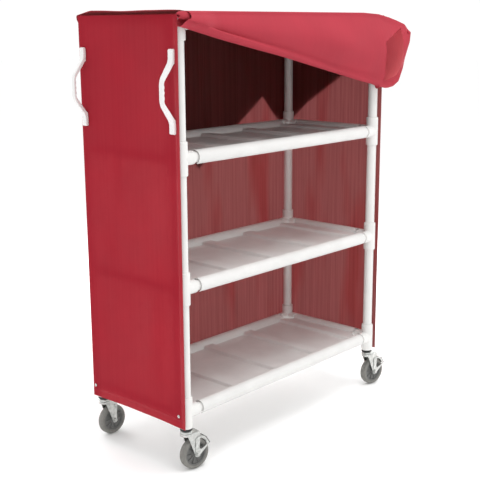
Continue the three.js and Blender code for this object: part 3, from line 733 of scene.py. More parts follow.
def scatter_tree():
    """A copy of one small part at every point of a mesh."""
    tree = Tree("Repeated part", [("Part", "NodeSocketObject"), ("Material", "NodeSocketMaterial")])
    part = tree.add("GeometryNodeObjectInfo", {"Object": tree.given("Part")})
    spots = tree.add("GeometryNodeMeshToPoints", {"Mesh": tree.given("Geometry")})
    row = tree.add("GeometryNodeInstanceOnPoints", {"Points": spots.outputs[0],
                                                    "Instance": part.outputs["Geometry"]})
    return tree.close(row.outputs[0])


def ball_ring_tree():
    """Balls standing evenly round a circle."""
    tree = Tree("Ball ring", [("Ring Radius", "NodeSocketFloat"), ("Ball Radius", "NodeSocketFloat"),
                              ("Count", "NodeSocketInt"), ("Material", "NodeSocketMaterial")])
    ring = tree.add("GeometryNodeMeshCircle",
                    {"Vertices": tree.given("Count"), "Radius": tree.given("Ring Radius")})
    ball = tree.add("GeometryNodeMeshUVSphere",
                    {"Segments": BALL_SEGMENTS, "Rings": BALL_RINGS, "Radius": tree.given("Ball Radius")})
    row = tree.add("GeometryNodeInstanceOnPoints", {"Points": ring.outputs[0], "Instance": ball.outputs[0]})
    return tree.close(row.outputs[0])


def from_tree(name, maker, values, base=None):
    """A plain mesh object made by a geometry node tree with these input values."""
    if maker not in TREES:
        TREES[maker] = maker()
    tree = TREES[maker]
    piece = in_scene(name, base if base is not None else bpy.data.meshes.new(name))
    modifier = piece.modifiers.new(tree.name, "NODES")
    modifier.node_group = tree
    sockets = {item.name: item.identifier for item in tree.interface.items_tree
               if item.item_type == "SOCKET" and item.in_out == "INPUT"}
    for label, value in values.items():
        modifier[sockets[label]] = value
    return settle(piece)


def moved(piece, origin, axis="z", turn=0.0):
    """Put a piece made about Z at a place in millimetres, along an axis, turned about the upright."""
    points = turned_to(points_of(piece.data), axis)
    cosine, sine = math.cos(turn), math.sin(turn)
    spun = np.stack([points[:, 0] * cosine - points[:, 1] * sine,
                     points[:, 0] * sine + points[:, 1] * cosine, points[:, 2]], 1)
    put_points(piece.data, spun + place(origin))
    return piece


# ---------------------------------------------------------------- frame

FITTING_FACETS = 72
FITTING_VOXEL = 0.0017
FITTING_ROUNDS = 4
END_RAIL_BITE = 0.9


def pipe(name, node, start, reach, axis):
    """One cut pipe along an axis, in place of its CAD node."""
    sizes = bpy.context.scene.trolley_plastic
    piece = from_tree(name, pipe_tree, {"Length": reach / MM, "Outer Radius": PIPE_R / MM,
                                        "Wall": sizes.pipe_wall, "Facets": sizes.pipe_facets,
                                        "Material": material("white pipe")})
    moved(piece, start, axis)
    return ready(piece, "root", "pipe_plastic", material("white pipe"), node)


def fitting_form(name, arms, half, top):
    """A socket fitting: an upright barrel and its arms, run together with small fillets."""
    sizes = bpy.context.scene.trolley_plastic
    reach, soft = sizes.socket_reach * MM, sizes.mouth_rounding * MM
    radius = FITTING_R
    barrels = []

    def barrel(low, high, axis):
        profile = [(0, low), (radius - soft, low), (radius, low + soft), (radius, high - soft),
                   (radius - soft, high), (0, high)]
        points, faces = lathe(profile, FITTING_FACETS, closed=False)
        barrels.append((turned_to(points, axis), faces))

    barrel(-half, top, "z")
    for axis, sign in arms:
        low, high = sorted((0.0, sign * reach))
        barrel(low, high, axis)
    points, faces = gather(barrels)
    piece = tidy(mesh_object(name, points / MM, faces))
    return reskinned(piece, FITTING_VOXEL, FITTING_ROUNDS)


def copy_of(form, name, mirror, origin):
    """A copy of a form, mirrored along X and Y as asked, at a place in millimetres."""
    mesh = form.data.copy()
    points = points_of(mesh) * np.array([mirror[0], mirror[1], 1.0]) + place(origin)
    if mirror[0] * mirror[1] < 0:
        mesh.flip_normals()
    put_points(mesh, points)
    piece = in_scene(name, mesh)
    soften(piece, SKIN_SHARP)
    return piece


class TROLLEY_OT_pipes(bpy.types.Operator):
    """Cut pipes: posts, long rails and end rails"""

    bl_idname = "trolley.pipes"
    bl_label = "Pipes"

    def execute(self, context):
        for face in FACES:
            for end in ENDS:
                node = f"post_{face}_{end}"
                low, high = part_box(node)
                x, y = ENDS[end] * POST_X, FACES[face] * POST_Y
                pipe(f"pipe_{node}", node, (x, y, low.z * MM), (high.z - low.z) * MM, "z")
            for level in LEVELS:
                node = f"rail_{face}_{level}"
                reach = size_of(node)[0]
                start = (-reach / 2, FACES[face] * POST_Y, LEVEL_Z[level])
                pipe(f"pipe_{node}", node, start, reach, "x")
        for end in ENDS:
            for level in LEVELS:
                reach = 2 * (POST_Y - FITTING_R * END_RAIL_BITE)
                pipe(f"pipe_end_{end}_{level}", f"end_rail_{end}_{level}",
                     (ENDS[end] * POST_X, -reach / 2, LEVEL_Z[level]), reach, "y")
        return {"FINISHED"}


class TROLLEY_OT_fittings(bpy.types.Operator):
    """Socket fittings where the rails meet the posts"""

    bl_idname = "trolley.fittings"
    bl_label = "Fittings"

    def execute(self, context):
        arms = (("x", 1), ("y", 1))
        tee = fitting_form("tee_form", arms, FITTING_HALF, FITTING_HALF)
        elbow = fitting_form("elbow_form", arms, FITTING_HALF, FITTING_R)
        for end, side_x in ENDS.items():
            for face, side_y in FACES.items():
                for level in LEVELS:
                    form = elbow if level == "top" else tee
                    origin = (side_x * POST_X, side_y * POST_Y, LEVEL_Z[level])
                    piece = copy_of(form, f"fitting_{face}_{end}_{level}", (-side_x, -side_y), origin)
                    ready(piece, "root", "pipe_plastic", material("white pipe"))
        discard(tee, elbow)
        return {"FINISHED"}


# ---------------------------------------------------------------- shelves

ROLL_R = size_of("shelf_middle")[1] / 2 - POST_Y
DECK_UP = 9.0
PANEL_DOWN = 12.0
RIDGE_PITCH = 270.0
RIDGE_WIDTH = 50.0
PANELS = 4
ROLL_END = 72.0
NOTCH_Y = 66.0
NOTCH_NEAR = 30.0
NOTCH_FAR = 58.0
TUCK_ANGLE = 248.0
WALL_FILLET = 5.0
ROLL_STEPS = 30
FILLET_STEPS = 5
FILLET_FROM = 0.2
DECK_STEPS = 13
RAMP_STEPS = 9
ROLL_JOIN = 6.0
SHELF_MERGE = 0.0002
PANEL_HALF = (RIDGE_PITCH - RIDGE_WIDTH) / 2
PANEL_MIDDLES = [(index - (PANELS - 1) / 2) * RIDGE_PITCH for index in range(PANELS)]


def deck_height(x):
    """Height of the deck over the rail line at each x: ridges stand over sunk panels."""
    step = bpy.context.scene.trolley_plastic.step_rounding * MM
    low = np.zeros_like(x)
    for middle in PANEL_MIDDLES:
        low = np.maximum(low, eased((PANEL_HALF - np.abs(x - middle)) / step))
    return DECK_UP - PANEL_DOWN * low


def shelf_stations():
    """Places along the shelf, closer together where the deck steps up or down."""
    step = bpy.context.scene.trolley_plastic.step_rounding * MM
    marks = []
    for middle in PANEL_MIDDLES:
        for side in (-1, 1):
            edge = middle + side * PANEL_HALF
            marks += list(np.linspace(edge - side * step, edge, RAMP_STEPS))
            marks.append(middle + side * PANEL_HALF / 2)
        marks.append(middle)
    limit = POST_X - ROLL_END
    marks += [-limit, limit, -limit + ROLL_JOIN, limit - ROLL_JOIN]
    return np.array(sorted(mark for mark in set(np.round(marks, 3)) if -limit <= mark <= limit))


def across(x, deck):
    """Points of one cross-section of the shelf, front tuck to rear tuck."""
    meet = math.asin((deck + WALL_FILLET) / ROLL_R)
    angles = np.linspace(math.radians(TUCK_ANGLE), meet, ROLL_STEPS)
    section = [(-POST_Y + ROLL_R * math.cos(a), ROLL_R * math.sin(a)) for a in angles]
    foot_y = -POST_Y + ROLL_R * math.cos(meet)
    fillet = [(foot_y + WALL_FILLET * (1 - math.cos(b)), deck + WALL_FILLET * (1 - math.sin(b)))
              for b in np.linspace(FILLET_FROM, math.pi / 2, FILLET_STEPS)]
    inner = foot_y + WALL_FILLET
    flat = [(y, deck) for y in np.linspace(inner, -inner, DECK_STEPS)[1:-1]]
    front = section + fillet
    rear = [(-y, z) for y, z in reversed(front)]
    return [(x, y, z) for y, z in front + flat + rear]


def shelf_mesh():
    """Points and faces of the sheet: the main body with its long rolls, then both ends."""
    stations = shelf_stations()
    heights = deck_height(stations)
    rows = [across(x, deck) for x, deck in zip(stations, heights)]
    columns = len(rows[0])
    parts = [(np.array([point for row in rows for point in row]), grid_faces(len(rows), columns))]
    deck = DECK_UP
    fillet_y = -across(0.0, deck)[ROLL_STEPS + FILLET_STEPS - 1][1]
    spread = np.linspace(-1, 1, DECK_STEPS)
    roll_end_y = POST_Y - NOTCH_Y
    for side in (-1, 1):
        start = POST_X - ROLL_END
        lines = []
        for x, half in ((start, fillet_y), (POST_X - NOTCH_FAR, POST_Y - NOTCH_NEAR - 1),
                        (POST_X - NOTCH_NEAR - WALL_FILLET, roll_end_y + 4)):
            lines.append([(side * x, t * half, deck) for t in spread])
        meet = math.asin((deck + WALL_FILLET) / ROLL_R)
        foot = POST_X - ROLL_R * math.cos(meet)
        for b in np.linspace(math.pi / 2, FILLET_FROM, FILLET_STEPS):
            x = foot - WALL_FILLET * (1 - math.cos(b))
            z = deck + WALL_FILLET * (1 - math.sin(b))
            lines.append([(side * x, t * roll_end_y, z) for t in spread])
        for a in np.linspace(math.pi - meet, math.radians(180 - TUCK_ANGLE), ROLL_STEPS):
            x = POST_X + ROLL_R * math.cos(a)
            lines.append([(side * x, t * roll_end_y, ROLL_R * math.sin(a)) for t in spread])
        points = np.array([point for line in lines for point in line])
        parts.append((points, grid_faces(len(lines), DECK_STEPS)))
    return gather(parts)


class TROLLEY_OT_shelves(bpy.types.Operator):
    """Moulded shelves with rolled edges, ridges and sunk panels"""

    bl_idname = "trolley.shelves"
    bl_label = "Shelves"

    def execute(self, context):
        sizes = context.scene.trolley_plastic
        points, faces = shelf_mesh()
        for level in SHELVES:
            lifted = points + np.array([0, 0, LEVEL_Z[level]])
            piece = mesh_object(f"shelf_sheet_{level}", place(lifted), faces)
            tidy(piece, SHELF_MERGE, SHEET_SHARP)
            face_up(piece)
            wall = piece.modifiers.new("Wall", "SOLIDIFY")
            wall.thickness = sizes.sheet_wall
            wall.offset = -1.0
            wall.use_even_offset = True
            settle(piece, SHEET_SHARP)
            ready(piece, "root", "shelf_plastic", material("shelf sheet"), f"shelf_{level}")
        return {"FINISHED"}


def face_up(piece):
    """Turn an open sheet over if most of its flat area faces down."""
    total = sum(face.normal.z * face.area for face in piece.data.polygons)
    if total < 0:
        piece.data.flip_normals()
        piece.data.update()


# ---------------------------------------------------------------- handles

HANDLE_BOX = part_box("handle_front")
HANDLE_HALF = (HANDLE_BOX[1].z - HANDLE_BOX[0].z) * MM / 2
HANDLE_Z = (HANDLE_BOX[1].z + HANDLE_BOX[0].z) * MM / 2
HANDLE_OUT = (HANDLE_BOX[1].x - HANDLE_BOX[0].x) * MM
HANDLE_FACE = HANDLE_BOX[1].x * MM - MIDDLE[0]
GRIP = 12.0
GRIP_HALF = 38.0
FOOT = 53.0
FOOT_THICK = 13.0
FOOT_WIDE, GRIP_WIDE = 23.6, 18.0
SHOULDER = 12.0
SLIM_FROM, SLIM_OVER = 30.0, 60.0
WAVE_DEEP = 2.4
WAVE_STEPS = 33
HANDLE_VOXEL = 0.0014
SCREW_IN = 14.0
SCREW_CAP = ((0, 0), (5.4, 0), (5.4, 0.5), (4.9, 1.0), (3.0, 1.4), (0, 1.5))


def handle_outline():
    """Outline of (outward, up): two flat feet, slanted arms and a grip with finger waves inside."""
    outside = [(0.0, -HANDLE_HALF), (FOOT_THICK, -HANDLE_HALF), (FOOT_THICK, -HANDLE_HALF + FOOT - SHOULDER),
               (HANDLE_OUT - 5, -GRIP_HALF - SHOULDER), (HANDLE_OUT, -GRIP_HALF + 8)]
    outline = outside + [(u, -v) for u, v in reversed(outside)]
    smooth = [tuple(point) for point in rounded(outline, 12.0, 5)]
    inner = HANDLE_OUT - GRIP
    grip = np.linspace(1, -1, WAVE_STEPS)
    waves = [(inner + WAVE_DEEP * (0.5 - 0.5 * math.cos(4 * math.pi * (t + 1))), GRIP_HALF * t) for t in grip]
    heel = [(0.0, HANDLE_HALF - FOOT), (4.0, HANDLE_HALF - FOOT)]
    return smooth + heel + waves + [(u, -v) for u, v in reversed(heel)]


def handle_form():
    """One pull handle about the middle of its foot plane, wide at the feet and slim at the grip."""
    sizes = bpy.context.scene.trolley_plastic
    points, faces = plate([(-u, v) for u, v in handle_outline()], -1.0, 1.0)
    form = mesh_object("handle_form", points / MM, faces)
    fill = bmesh.new()
    fill.from_mesh(form.data)
    bmesh.ops.triangulate(fill, faces=[face for face in fill.faces if len(face.verts) > 4])
    bmesh.ops.recalc_face_normals(fill, faces=fill.faces)
    for vert in fill.verts:
        slim = float(eased((HANDLE_HALF - SLIM_FROM - abs(vert.co.z * MM)) / SLIM_OVER))
        vert.co.y *= (FOOT_WIDE + (GRIP_WIDE - FOOT_WIDE) * slim) / 2
    fill.to_mesh(form.data)
    fill.free()
    return reskinned(form, HANDLE_VOXEL, max(1, round(sizes.handle_rounding / HANDLE_VOXEL * 3)))


class TROLLEY_OT_handles(bpy.types.Operator):
    """Pull handles with their screw caps"""

    bl_idname = "trolley.handles"
    bl_label = "Handles"

    def execute(self, context):
        form = handle_form()
        for face, side in FACES.items():
            piece = copy_of(form, f"pull_{face}", (1, 1), (HANDLE_FACE, side * POST_Y, HANDLE_Z))
            ready(piece, "root", "handle_plastic", material("handle moulding"), f"handle_{face}")
        discard(form)
        cap = round_cap("cap_form", SCREW_CAP, -1)
        spots = [(HANDLE_FACE - FOOT_THICK + 0.3, side * POST_Y, HANDLE_Z + up * (HANDLE_HALF - SCREW_IN))
                 for side in FACES.values() for up in (-1, 1)]
        row = repeated("handle_screw_caps", cap, spots, "handle moulding")
        ready(row, "root", "handle_plastic", material("handle moulding"))
        discard(cap)
        return {"FINISHED"}


def repeated(name, part, spots, finish):
    """Copies of a small part at every spot, as one plain mesh."""
    mesh = bpy.data.meshes.new(name)
    mesh.from_pydata(place(spots).tolist(), [], [])
    return from_tree(name, scatter_tree, {"Part": part, "Material": material(finish)}, mesh)


# ---------------------------------------------------------------- cloth

CLOTH_MERGE = 0.0003
PANEL_ROWS = 110
HEM_ROWS = np.array([-0.0008, -0.0003, 0.0003, 0.0008])
EDGE_STATIONS = (-1.2, -0.4, 0.4, 1.2)
SEAM_SHARE = 0.88
SEAM_OUT = 0.75
TOP_GAP = 2.2
COVER_IN = 0.6
HEM_BLEND = 1.2
HEM_STEP = 0.9
HEM_LIFT = 5.0
COVER_LOOSE = 1.3
STUD_RISE = 46.5
STUD_FRONT = -238.0
STUD_REAR = 259.0


def ripple(a, b, size, seed):
    """A soft uneven wave over two coordinates, about one high."""
    turn = np.random.default_rng(seed).uniform(0, 2 * math.pi, 6)
    return (np.sin(a / size + turn[0]) * np.cos(b / (size * 1.7) + turn[1])
            + 0.6 * np.sin((a + b) / (size * 0.63) + turn[2])
            + 0.4 * np.cos((a - 0.7 * b) / (size * 0.41) + turn[3])) / 2


def cloth_object(name, grids, face, lining=None):
    """One open sheet of cloth from grids of (points, UVs), then given its thickness as a closed body.

    The side that looks away from the middle of the trolley has the first material."""
    points, uvs, faces, first = [], [], [], 0
    for grid, uv in grids:
        rows, columns = grid.shape[:2]
        points.append(grid.reshape(-1, 3))
        uvs.append(uv.reshape(-1, 2))
        faces += grid_faces(rows, columns, first)
        first += rows * columns
    points, uvs = np.concatenate(points), np.concatenate(uvs)
    mesh = bpy.data.meshes.new(name)
    mesh.from_pydata(place(points).tolist(), [], faces)
    layer = mesh.uv_layers.new(name="Cloth")
    corners = np.empty(len(mesh.loops), np.int32)
    mesh.loops.foreach_get("vertex_index", corners)
    layer.data.foreach_set("uv", (uvs[corners] / MM).astype(np.float32).ravel())
    piece = in_scene(name, mesh)
    cage = bmesh.new()
    cage.from_mesh(mesh)
    bmesh.ops.remove_doubles(cage, verts=cage.verts, dist=CLOTH_MERGE)
    bmesh.ops.dissolve_degenerate(cage, edges=cage.edges, dist=1e-5)
    bmesh.ops.recalc_face_normals(cage, faces=cage.faces)
    heart = Vector(place((0, 0, LEVEL_Z["middle"])))
    outward = sum(quad.normal.dot(quad.calc_center_median() - heart) * quad.calc_area()
                  for quad in cage.faces)
    if outward < 0:
        bmesh.ops.reverse_faces(cage, faces=cage.faces)
    cage.to_mesh(mesh)
    cage.free()
    mesh.materials.append(face)
    mesh.materials.append(lining or face)
    wall = piece.modifiers.new("Cloth thickness", "SOLIDIFY")
    wall.thickness = bpy.context.scene.trolley_cloth.thickness
    wall.offset = 0.0
    wall.material_offset = 1
    return settle(piece, CLOTH_SHARP)


def hem_share():
    """Height of the hem as a share of the cover's height."""
    return bpy.context.scene.trolley_cloth.hem * MM / (COVER_TOP - COVER_HEM)


def up_the_cover():
    """Stations from the hem at 0 to the top edge at 1, with extra ones where the hem ends."""
    return np.array(sorted(set(np.linspace(0, 1, PANEL_ROWS)) | set(hem_share() + HEM_ROWS)))


def spaced(low, high, mark, count):
    """Stations from low to high, with extra ones close to a mark."""
    stations = list(np.linspace(low, high, count)) + [mark + near for near in EDGE_STATIONS]
    return np.array(sorted(station for station in stations if low <= station <= high))


def stitched(name, paths, slot="cover_fabric"):
    """Rows of stitches along paths of points in millimetres."""
    cloth = bpy.context.scene.trolley_cloth
    points, edges, first = [], [], 0
    for path in paths:
        points += [tuple(point) for point in place(path)]
        edges += [(first + i, first + i + 1) for i in range(len(path) - 1)]
        first += len(path)
    mesh = bpy.data.meshes.new(name)
    mesh.from_pydata(points, edges, [])
    values = {"Pitch": cloth.stitch_pitch, "Stitch Length": cloth.stitch_length,
              "Thread Radius": cloth.stitch_width / 2, "Material": material("thread")}
    return ready(from_tree(name, stitch_tree, values, mesh), "root", slot, material("thread"))


def hem_rise(across_place, half):
    """How far the foot of the cover lifts between two posts."""
    return HEM_LIFT * np.clip(1 - (across_place / half) ** 2, 0, 1)


def end_surface(side, y, t):
    """A point of an end panel: y along it, t from the hem at 0 to the top edge at 1."""
    cloth = bpy.context.scene.trolley_cloth
    foot = COVER_HEM + hem_rise(y, POST_Y)
    z = foot + t * (COVER_TOP - TOP_GAP - foot)
    in_hem = eased((cloth.hem * MM - (z - foot)) / HEM_BLEND + 0.5)
    in_edge = eased((cloth.edge_hem * MM - (y - COVER_FRONT)) / HEM_BLEND + 0.5)
    loose = ripple(y, z, 120.0, 11 + side) * COVER_LOOSE * np.clip(1 - np.abs(y) / POST_Y, 0.15, 1)
    flutter = 2.0 * np.sin(y / 62.0 + side) * np.exp(-(z - foot) / 70.0)
    x = COVER_X - COVER_IN + HEM_STEP * np.maximum(in_hem, in_edge) + loose * 0.7 + np.abs(flutter) * 0.6
    return np.stack([side * x, y, z], -1)


def end_panel(end):
    """The cover panel at one end, with its stitches."""
    cloth = bpy.context.scene.trolley_cloth
    side = ENDS[end]
    ys = spaced(COVER_FRONT, COVER_Y - 1.6, COVER_FRONT + cloth.edge_hem * MM, 46)
    t, y = np.meshgrid(up_the_cover(), ys, indexing="ij")
    grid = end_surface(side, y, t)
    uv = np.stack([y, grid[..., 2]], -1)
    piece = cloth_object(f"cover_sheet_end_{end}", [(grid, uv)],
                         material("cover cloth"), material("cover lining"))
    ready(piece, "root", "cover_fabric", None, f"cover_end_{end}")
    out = np.array([side * SEAM_OUT, 0, 0])
    run = np.linspace(COVER_FRONT + 4, COVER_Y - 6, 60)
    foot = end_surface(side, run, np.full_like(run, hem_share() * SEAM_SHARE)) + out
    heights = np.linspace(0.01, 0.995, 160)
    edge = COVER_FRONT + cloth.edge_hem * MM * 0.82
    upright = end_surface(side, np.full_like(heights, edge), heights) + out
    stitches = stitched(f"stitches_end_{end}", [foot, upright])


def back_surface(x, t):
    """A point of the back panel: x along it, t from the hem at 0 to the top edge at 1."""
    cloth = bpy.context.scene.trolley_cloth
    foot = COVER_HEM + hem_rise(x, POST_X) * 1.2
    z = foot + t * (COVER_TOP - TOP_GAP - foot)
    in_hem = eased((cloth.hem * MM - (z - foot)) / HEM_BLEND + 0.5)
    loose = ripple(x, z, 150.0, 5) * 1.4 + 1.2 * ripple(x, z * 0.25, 34.0, 8)
    slack = np.clip(loose, -0.4, 4) * np.clip(1.1 - np.abs(x) / POST_X, 0.1, 1)
    return np.stack([x, COVER_Y - COVER_IN + HEM_STEP * in_hem + slack, z], -1)


def back_panel():
    """The cover panel behind, with its hem."""
    t, x = np.meshgrid(up_the_cover(), np.linspace(-COVER_X + 0.5, COVER_X - 0.5, 120), indexing="ij")
    grid = back_surface(x, t)
    uv = np.stack([x, grid[..., 2]], -1)
    piece = cloth_object("cover_sheet_back", [(grid, uv)], material("cover cloth"), material("cover lining"))
    ready(piece, "root", "cover_fabric", None, "cover_back")
    run = np.linspace(-COVER_X + 6, COVER_X - 6, 120)
    foot = back_surface(run, np.full_like(run, hem_share() * SEAM_SHARE)) + np.array([0, SEAM_OUT, 0])
    stitches = stitched("stitches_back", [foot])


def top_panel():
    """The cover panel on the top rails, under the flap."""
    x, y = np.meshgrid(np.linspace(-COVER_X + 0.5, COVER_X - 0.5, 90),
                       np.linspace(COVER_FRONT, COVER_Y - 1.0, 44), indexing="ij")
    inside = np.clip((POST_X - 30 - np.abs(x)) / 80, 0, 1) * np.clip((POST_Y - 30 - np.abs(y)) / 80, 0, 1)
    z = COVER_TOP - 0.8 - 5.0 * eased(inside) + 0.8 * ripple(x, y, 90.0, 3) * inside
    piece = cloth_object("cover_sheet_top", [(np.stack([x, y, z], -1), np.stack([x, y], -1))],
                         material("cover cloth"), material("cover lining"))
    ready(piece, "root", "cover_fabric", None, "cover_top")


def stud_form(side):
    """A press stud that faces along X."""
    radius = bpy.context.scene.trolley_cloth.stud_radius * MM
    profile = [(0, 0), (radius, 0), (radius, 0.8), (radius * 0.86, 1.7), (radius * 0.6, 2.1),
               (radius * 0.48, 1.6), (0, 1.5)]
    return round_cap("stud_form", profile, side)


class TROLLEY_OT_cover(bpy.types.Operator):
    """Fabric cover: top, back and end panels with hems, stitches and press studs"""

    bl_idname = "trolley.cover"
    bl_label = "Cover"

    def execute(self, context):
        for end in ENDS:
            end_panel(end)
        back_panel()
        top_panel()
        for end, side in ENDS.items():
            form = stud_form(side)
            height = COVER_HEM + STUD_RISE
            spots = [(side * (COVER_X + 1.6), y, height) for y in (STUD_FRONT, STUD_REAR)]
            studs = repeated(f"press_studs_{end}", form, spots, "bright zinc")
            ready(studs, "root", "zinc", material("bright zinc"))
            discard(form)
        return {"FINISHED"}


# ---------------------------------------------------------------- front flap

# Edges of the flap in millimetres about the posts, up from the floor. LOW_EDGE and HIGH_EDGE bound the
# hanging fold as (x, z), INNER_EDGE ends its inner layer at the right and MOUTH_EDGE its outer layer at the
# left as (z, x), MOUTH_HEM is the seam beside that mouth as (x, z), TAIL_EDGE and END_EDGE are the free edges
# behind as (x, z) and at the right end as (y, z). FOLD_ROUND is the radius of the fold's turn along x.
FLAP_LEFT = -COVER_X - 18.0
FLAP_BACK = COVER_Y + 6.0
FLAP_END = COVER_X + 6.5
FOLD_FACE = COVER_FRONT - 3.0
LOW_EDGE = ((-665, 1690), (-629, 1684), (-547, 1665), (-421, 1637), (-92, 1572), (284, 1489),
            (423, 1458), (534, 1436), (575, 1424), (625, 1413), (680, 1420), (723, 1441), (755, 1500),
            (778, 1576), (786, 1640))
HIGH_EDGE = ((-665, 1741), (440, 1741), (560, 1735), (640, 1722), (700, 1708), (758, 1692), (786, 1668))
INNER_EDGE = ((1400, 573), (1428, 573), (1508, 567), (1555, 531), (1614, 529), (1623, 558),
              (1652, 632), (1760, 700))
MOUTH_EDGE = ((1680, -656), (1690, -650), (1700, -645), (1707, -638), (1712, -626), (1719, -615),
              (1728, -611), (1737, -614), (1745, -626))
MOUTH_HEM = ((-580, 1735), (-566, 1723), (-569, 1707), (-587, 1694), (-612, 1688))
TAIL_EDGE = ((-651, 1728), (10, 1066), (445, 1362), (524, 1275), (562, 1243), (600, 1232), (640, 1228))
END_EDGE = ((-320, 1470), (-200, 1455), (-53, 1464), (150, 1330), (239, 1252), (281, 1230))
FOLD_ROUND = ((-665, 24), (-560, 24), (-300, 20), (200, 15), (640, 12))
COLUMNS, WING_COLUMNS = 110, 20
INNER_ROWS, TURN_ROWS, OUTER_ROWS, LIP_ROWS = 14, 9, 34, 6
TOP_ROWS, CORNER_ROWS, TAIL_ROWS = 34, 4, 40
LIP = 12.0
TURN_END, TURN_FADE = 560.0, 60.0
TAIL_START = 8.0
TAIL_CORNER = 2.0
FLARE_Y = -190.0
BELLY_DROP, BELLY_START, BELLY_SOFT = 0.80, 0.08, 1.25
ROLL_RIGHT, ROLL_BLEND = -440.0, 120.0
LIFT_REACH = 34.0
WING_X = 786.0
TOP_FRONT = COVER_FRONT - 22.0


def fold_columns():
    """Places across the cloth, from the left edge to the right end of the trolley."""
    return np.linspace(FLAP_LEFT, COVER_X, COLUMNS)


def outer_face(x, z, low, high):
    """How far forward the outer layer of the fold stands: pinched above the turn, then a full belly."""
    t = np.clip((z - low) / np.maximum(high - low, 1), 0, 1)
    risen = np.clip((t - BELLY_START) / (1 - BELLY_START), 0, 1) ** BELLY_DROP
    belly = np.sin(risen * math.pi) ** BELLY_SOFT
    deep = np.clip((high - low) / 240, 0.25, 1)
    wave = 5.0 * ripple(x, z * 1.6, 95.0, 21) * t * (1 - t) * 4
    hung = 12.0 + 9.0 * t + 45.0 * belly * deep + wave * deep
    tube = 22.0 + 36.0 * np.sin(t ** 0.85 * math.pi) ** 0.7
    share = eased((ROLL_RIGHT - x) / ROLL_BLEND)
    return -(hung * (1 - share) + tube * share)


def fold_grid(xs):
    """The cloth from the hinge down, round the fold, up the front and over the lip, row by row."""
    low = blend_between(xs, LOW_EDGE)
    high = np.minimum(blend_between(xs, HIGH_EDGE), FLAP_TOP)
    turn = blend_between(xs, FOLD_ROUND)
    inner_end = INNER_EDGE[0][1]
    rows = []
    hinge_z = COVER_TOP - 1.0
    for t in np.linspace(0, 1, INNER_ROWS):
        z = hinge_z + (low + turn - hinge_z) * t
        shut = np.minimum(xs, blend_between(z, INNER_EDGE))
        rows.append(np.stack([shut, FOLD_FACE + 0 * xs - 1.5 * np.sin(t * math.pi), z], -1))
    for a in np.linspace(0, math.pi, TURN_ROWS + 2)[1:-1]:
        y = FOLD_FACE - turn * (1 - np.cos(a))
        z = low + turn - turn * np.sin(a)
        rows.append(np.stack([np.minimum(xs, inner_end), y, z], -1))
    start = FOLD_FACE - 2 * turn
    for t in np.linspace(0, 1, OUTER_ROWS):
        foot = low + turn * (1 - 0.9 * eased((xs - TURN_END) / TURN_FADE))
        z = foot + (high - LIP - low - turn) * t
        y = COVER_FRONT + outer_face(xs, z, low, high)
        y = start * (1 - eased(t * 8)) + y * eased(t * 8)
        rows.append(np.stack([xs + 0 * z, y, z], -1))
    lip_y = rows[-1][:, 1]
    for a in np.linspace(0, math.pi / 2, LIP_ROWS + 1)[1:]:
        y = lip_y + (TOP_FRONT - lip_y) * (1 - np.cos(a))
        z = high - LIP + LIP * np.sin(a)
        rows.append(np.stack([xs, y, z], -1))
    return rows, high


def top_rows(xs, high):
    """The layer on the top, from the front lip to the back edge."""
    rows = []
    for t in np.linspace(0, 1, TOP_ROWS + 1)[1:]:
        y = TOP_FRONT + (COVER_Y - TAIL_CORNER - TOP_FRONT) * t
        level = FLAP_TOP - 2.2 + 1.6 * ripple(xs, y * 1.3, 80.0, 31) - 2.2 * np.sin(t * math.pi)
        z = high + (level - high) * eased(t * 3.0)
        rows.append(np.stack([xs, 0 * xs + y, z], -1))
    return rows


def tail_rows(xs, from_z):
    """What hangs behind: round the back edge and down to the free edge."""
    rows = []
    for a in np.linspace(0, math.pi / 2, CORNER_ROWS + 1)[1:]:
        y = COVER_Y - TAIL_CORNER + (FLAP_BACK - COVER_Y + TAIL_CORNER) * np.sin(a)
        rows.append(np.stack([xs, y + 0 * xs, from_z - TAIL_START * (1 - np.cos(a))], -1))
    start = from_z - TAIL_START
    end = np.minimum(blend_between(xs, TAIL_EDGE), start - 1.0)
    for t in np.linspace(0, 1, TAIL_ROWS + 1)[1:]:
        z = start + (end - start) * t
        drop = (FLAP_TOP - z) / 600
        y = FLAP_BACK + np.clip(drop, 0, 1) * 3.0 * ripple(xs, z * 0.4, 55.0, 41)
        rows.append(np.stack([xs, np.maximum(y, COVER_Y + 2.4), z], -1))
    return rows


def cloth_uv(grid):
    """UVs in millimetres from the lengths run along both directions of a grid."""
    down = np.linalg.norm(np.diff(grid, axis=0), axis=2)
    v = np.concatenate([np.zeros((1, grid.shape[1])), np.cumsum(down, 0)])
    return np.stack([grid[..., 0] + 0 * v, v], -1)


def end_hang(y, q):
    """A point of the cloth at the right end: y along it, q from the top edge at 0 to the free edge at 1."""
    start = FLAP_TOP - 6.0
    z = start + (blend_between(y, END_EDGE) - start) * q
    drop = (FLAP_TOP - z) / 500
    x = FLAP_END - 5.5 * (1 - eased(q * 12)) + np.clip(drop, 0, 1) * 2.6 * ripple(y, z * 0.4, 48.0, 51)
    return np.stack([np.maximum(x, COVER_X + 2.0), y + 0 * z, z], -1)


def wing_front(q):
    """The upper edge of the wing in front, from the corner of the trolley at 0 to the wing's tip at 1."""
    x = COVER_X + (WING_X - COVER_X) * q
    return np.stack([x, 0 * q + TOP_FRONT - 6 * q, np.minimum(blend_between(x, HIGH_EDGE), FLAP_TOP)], -1)


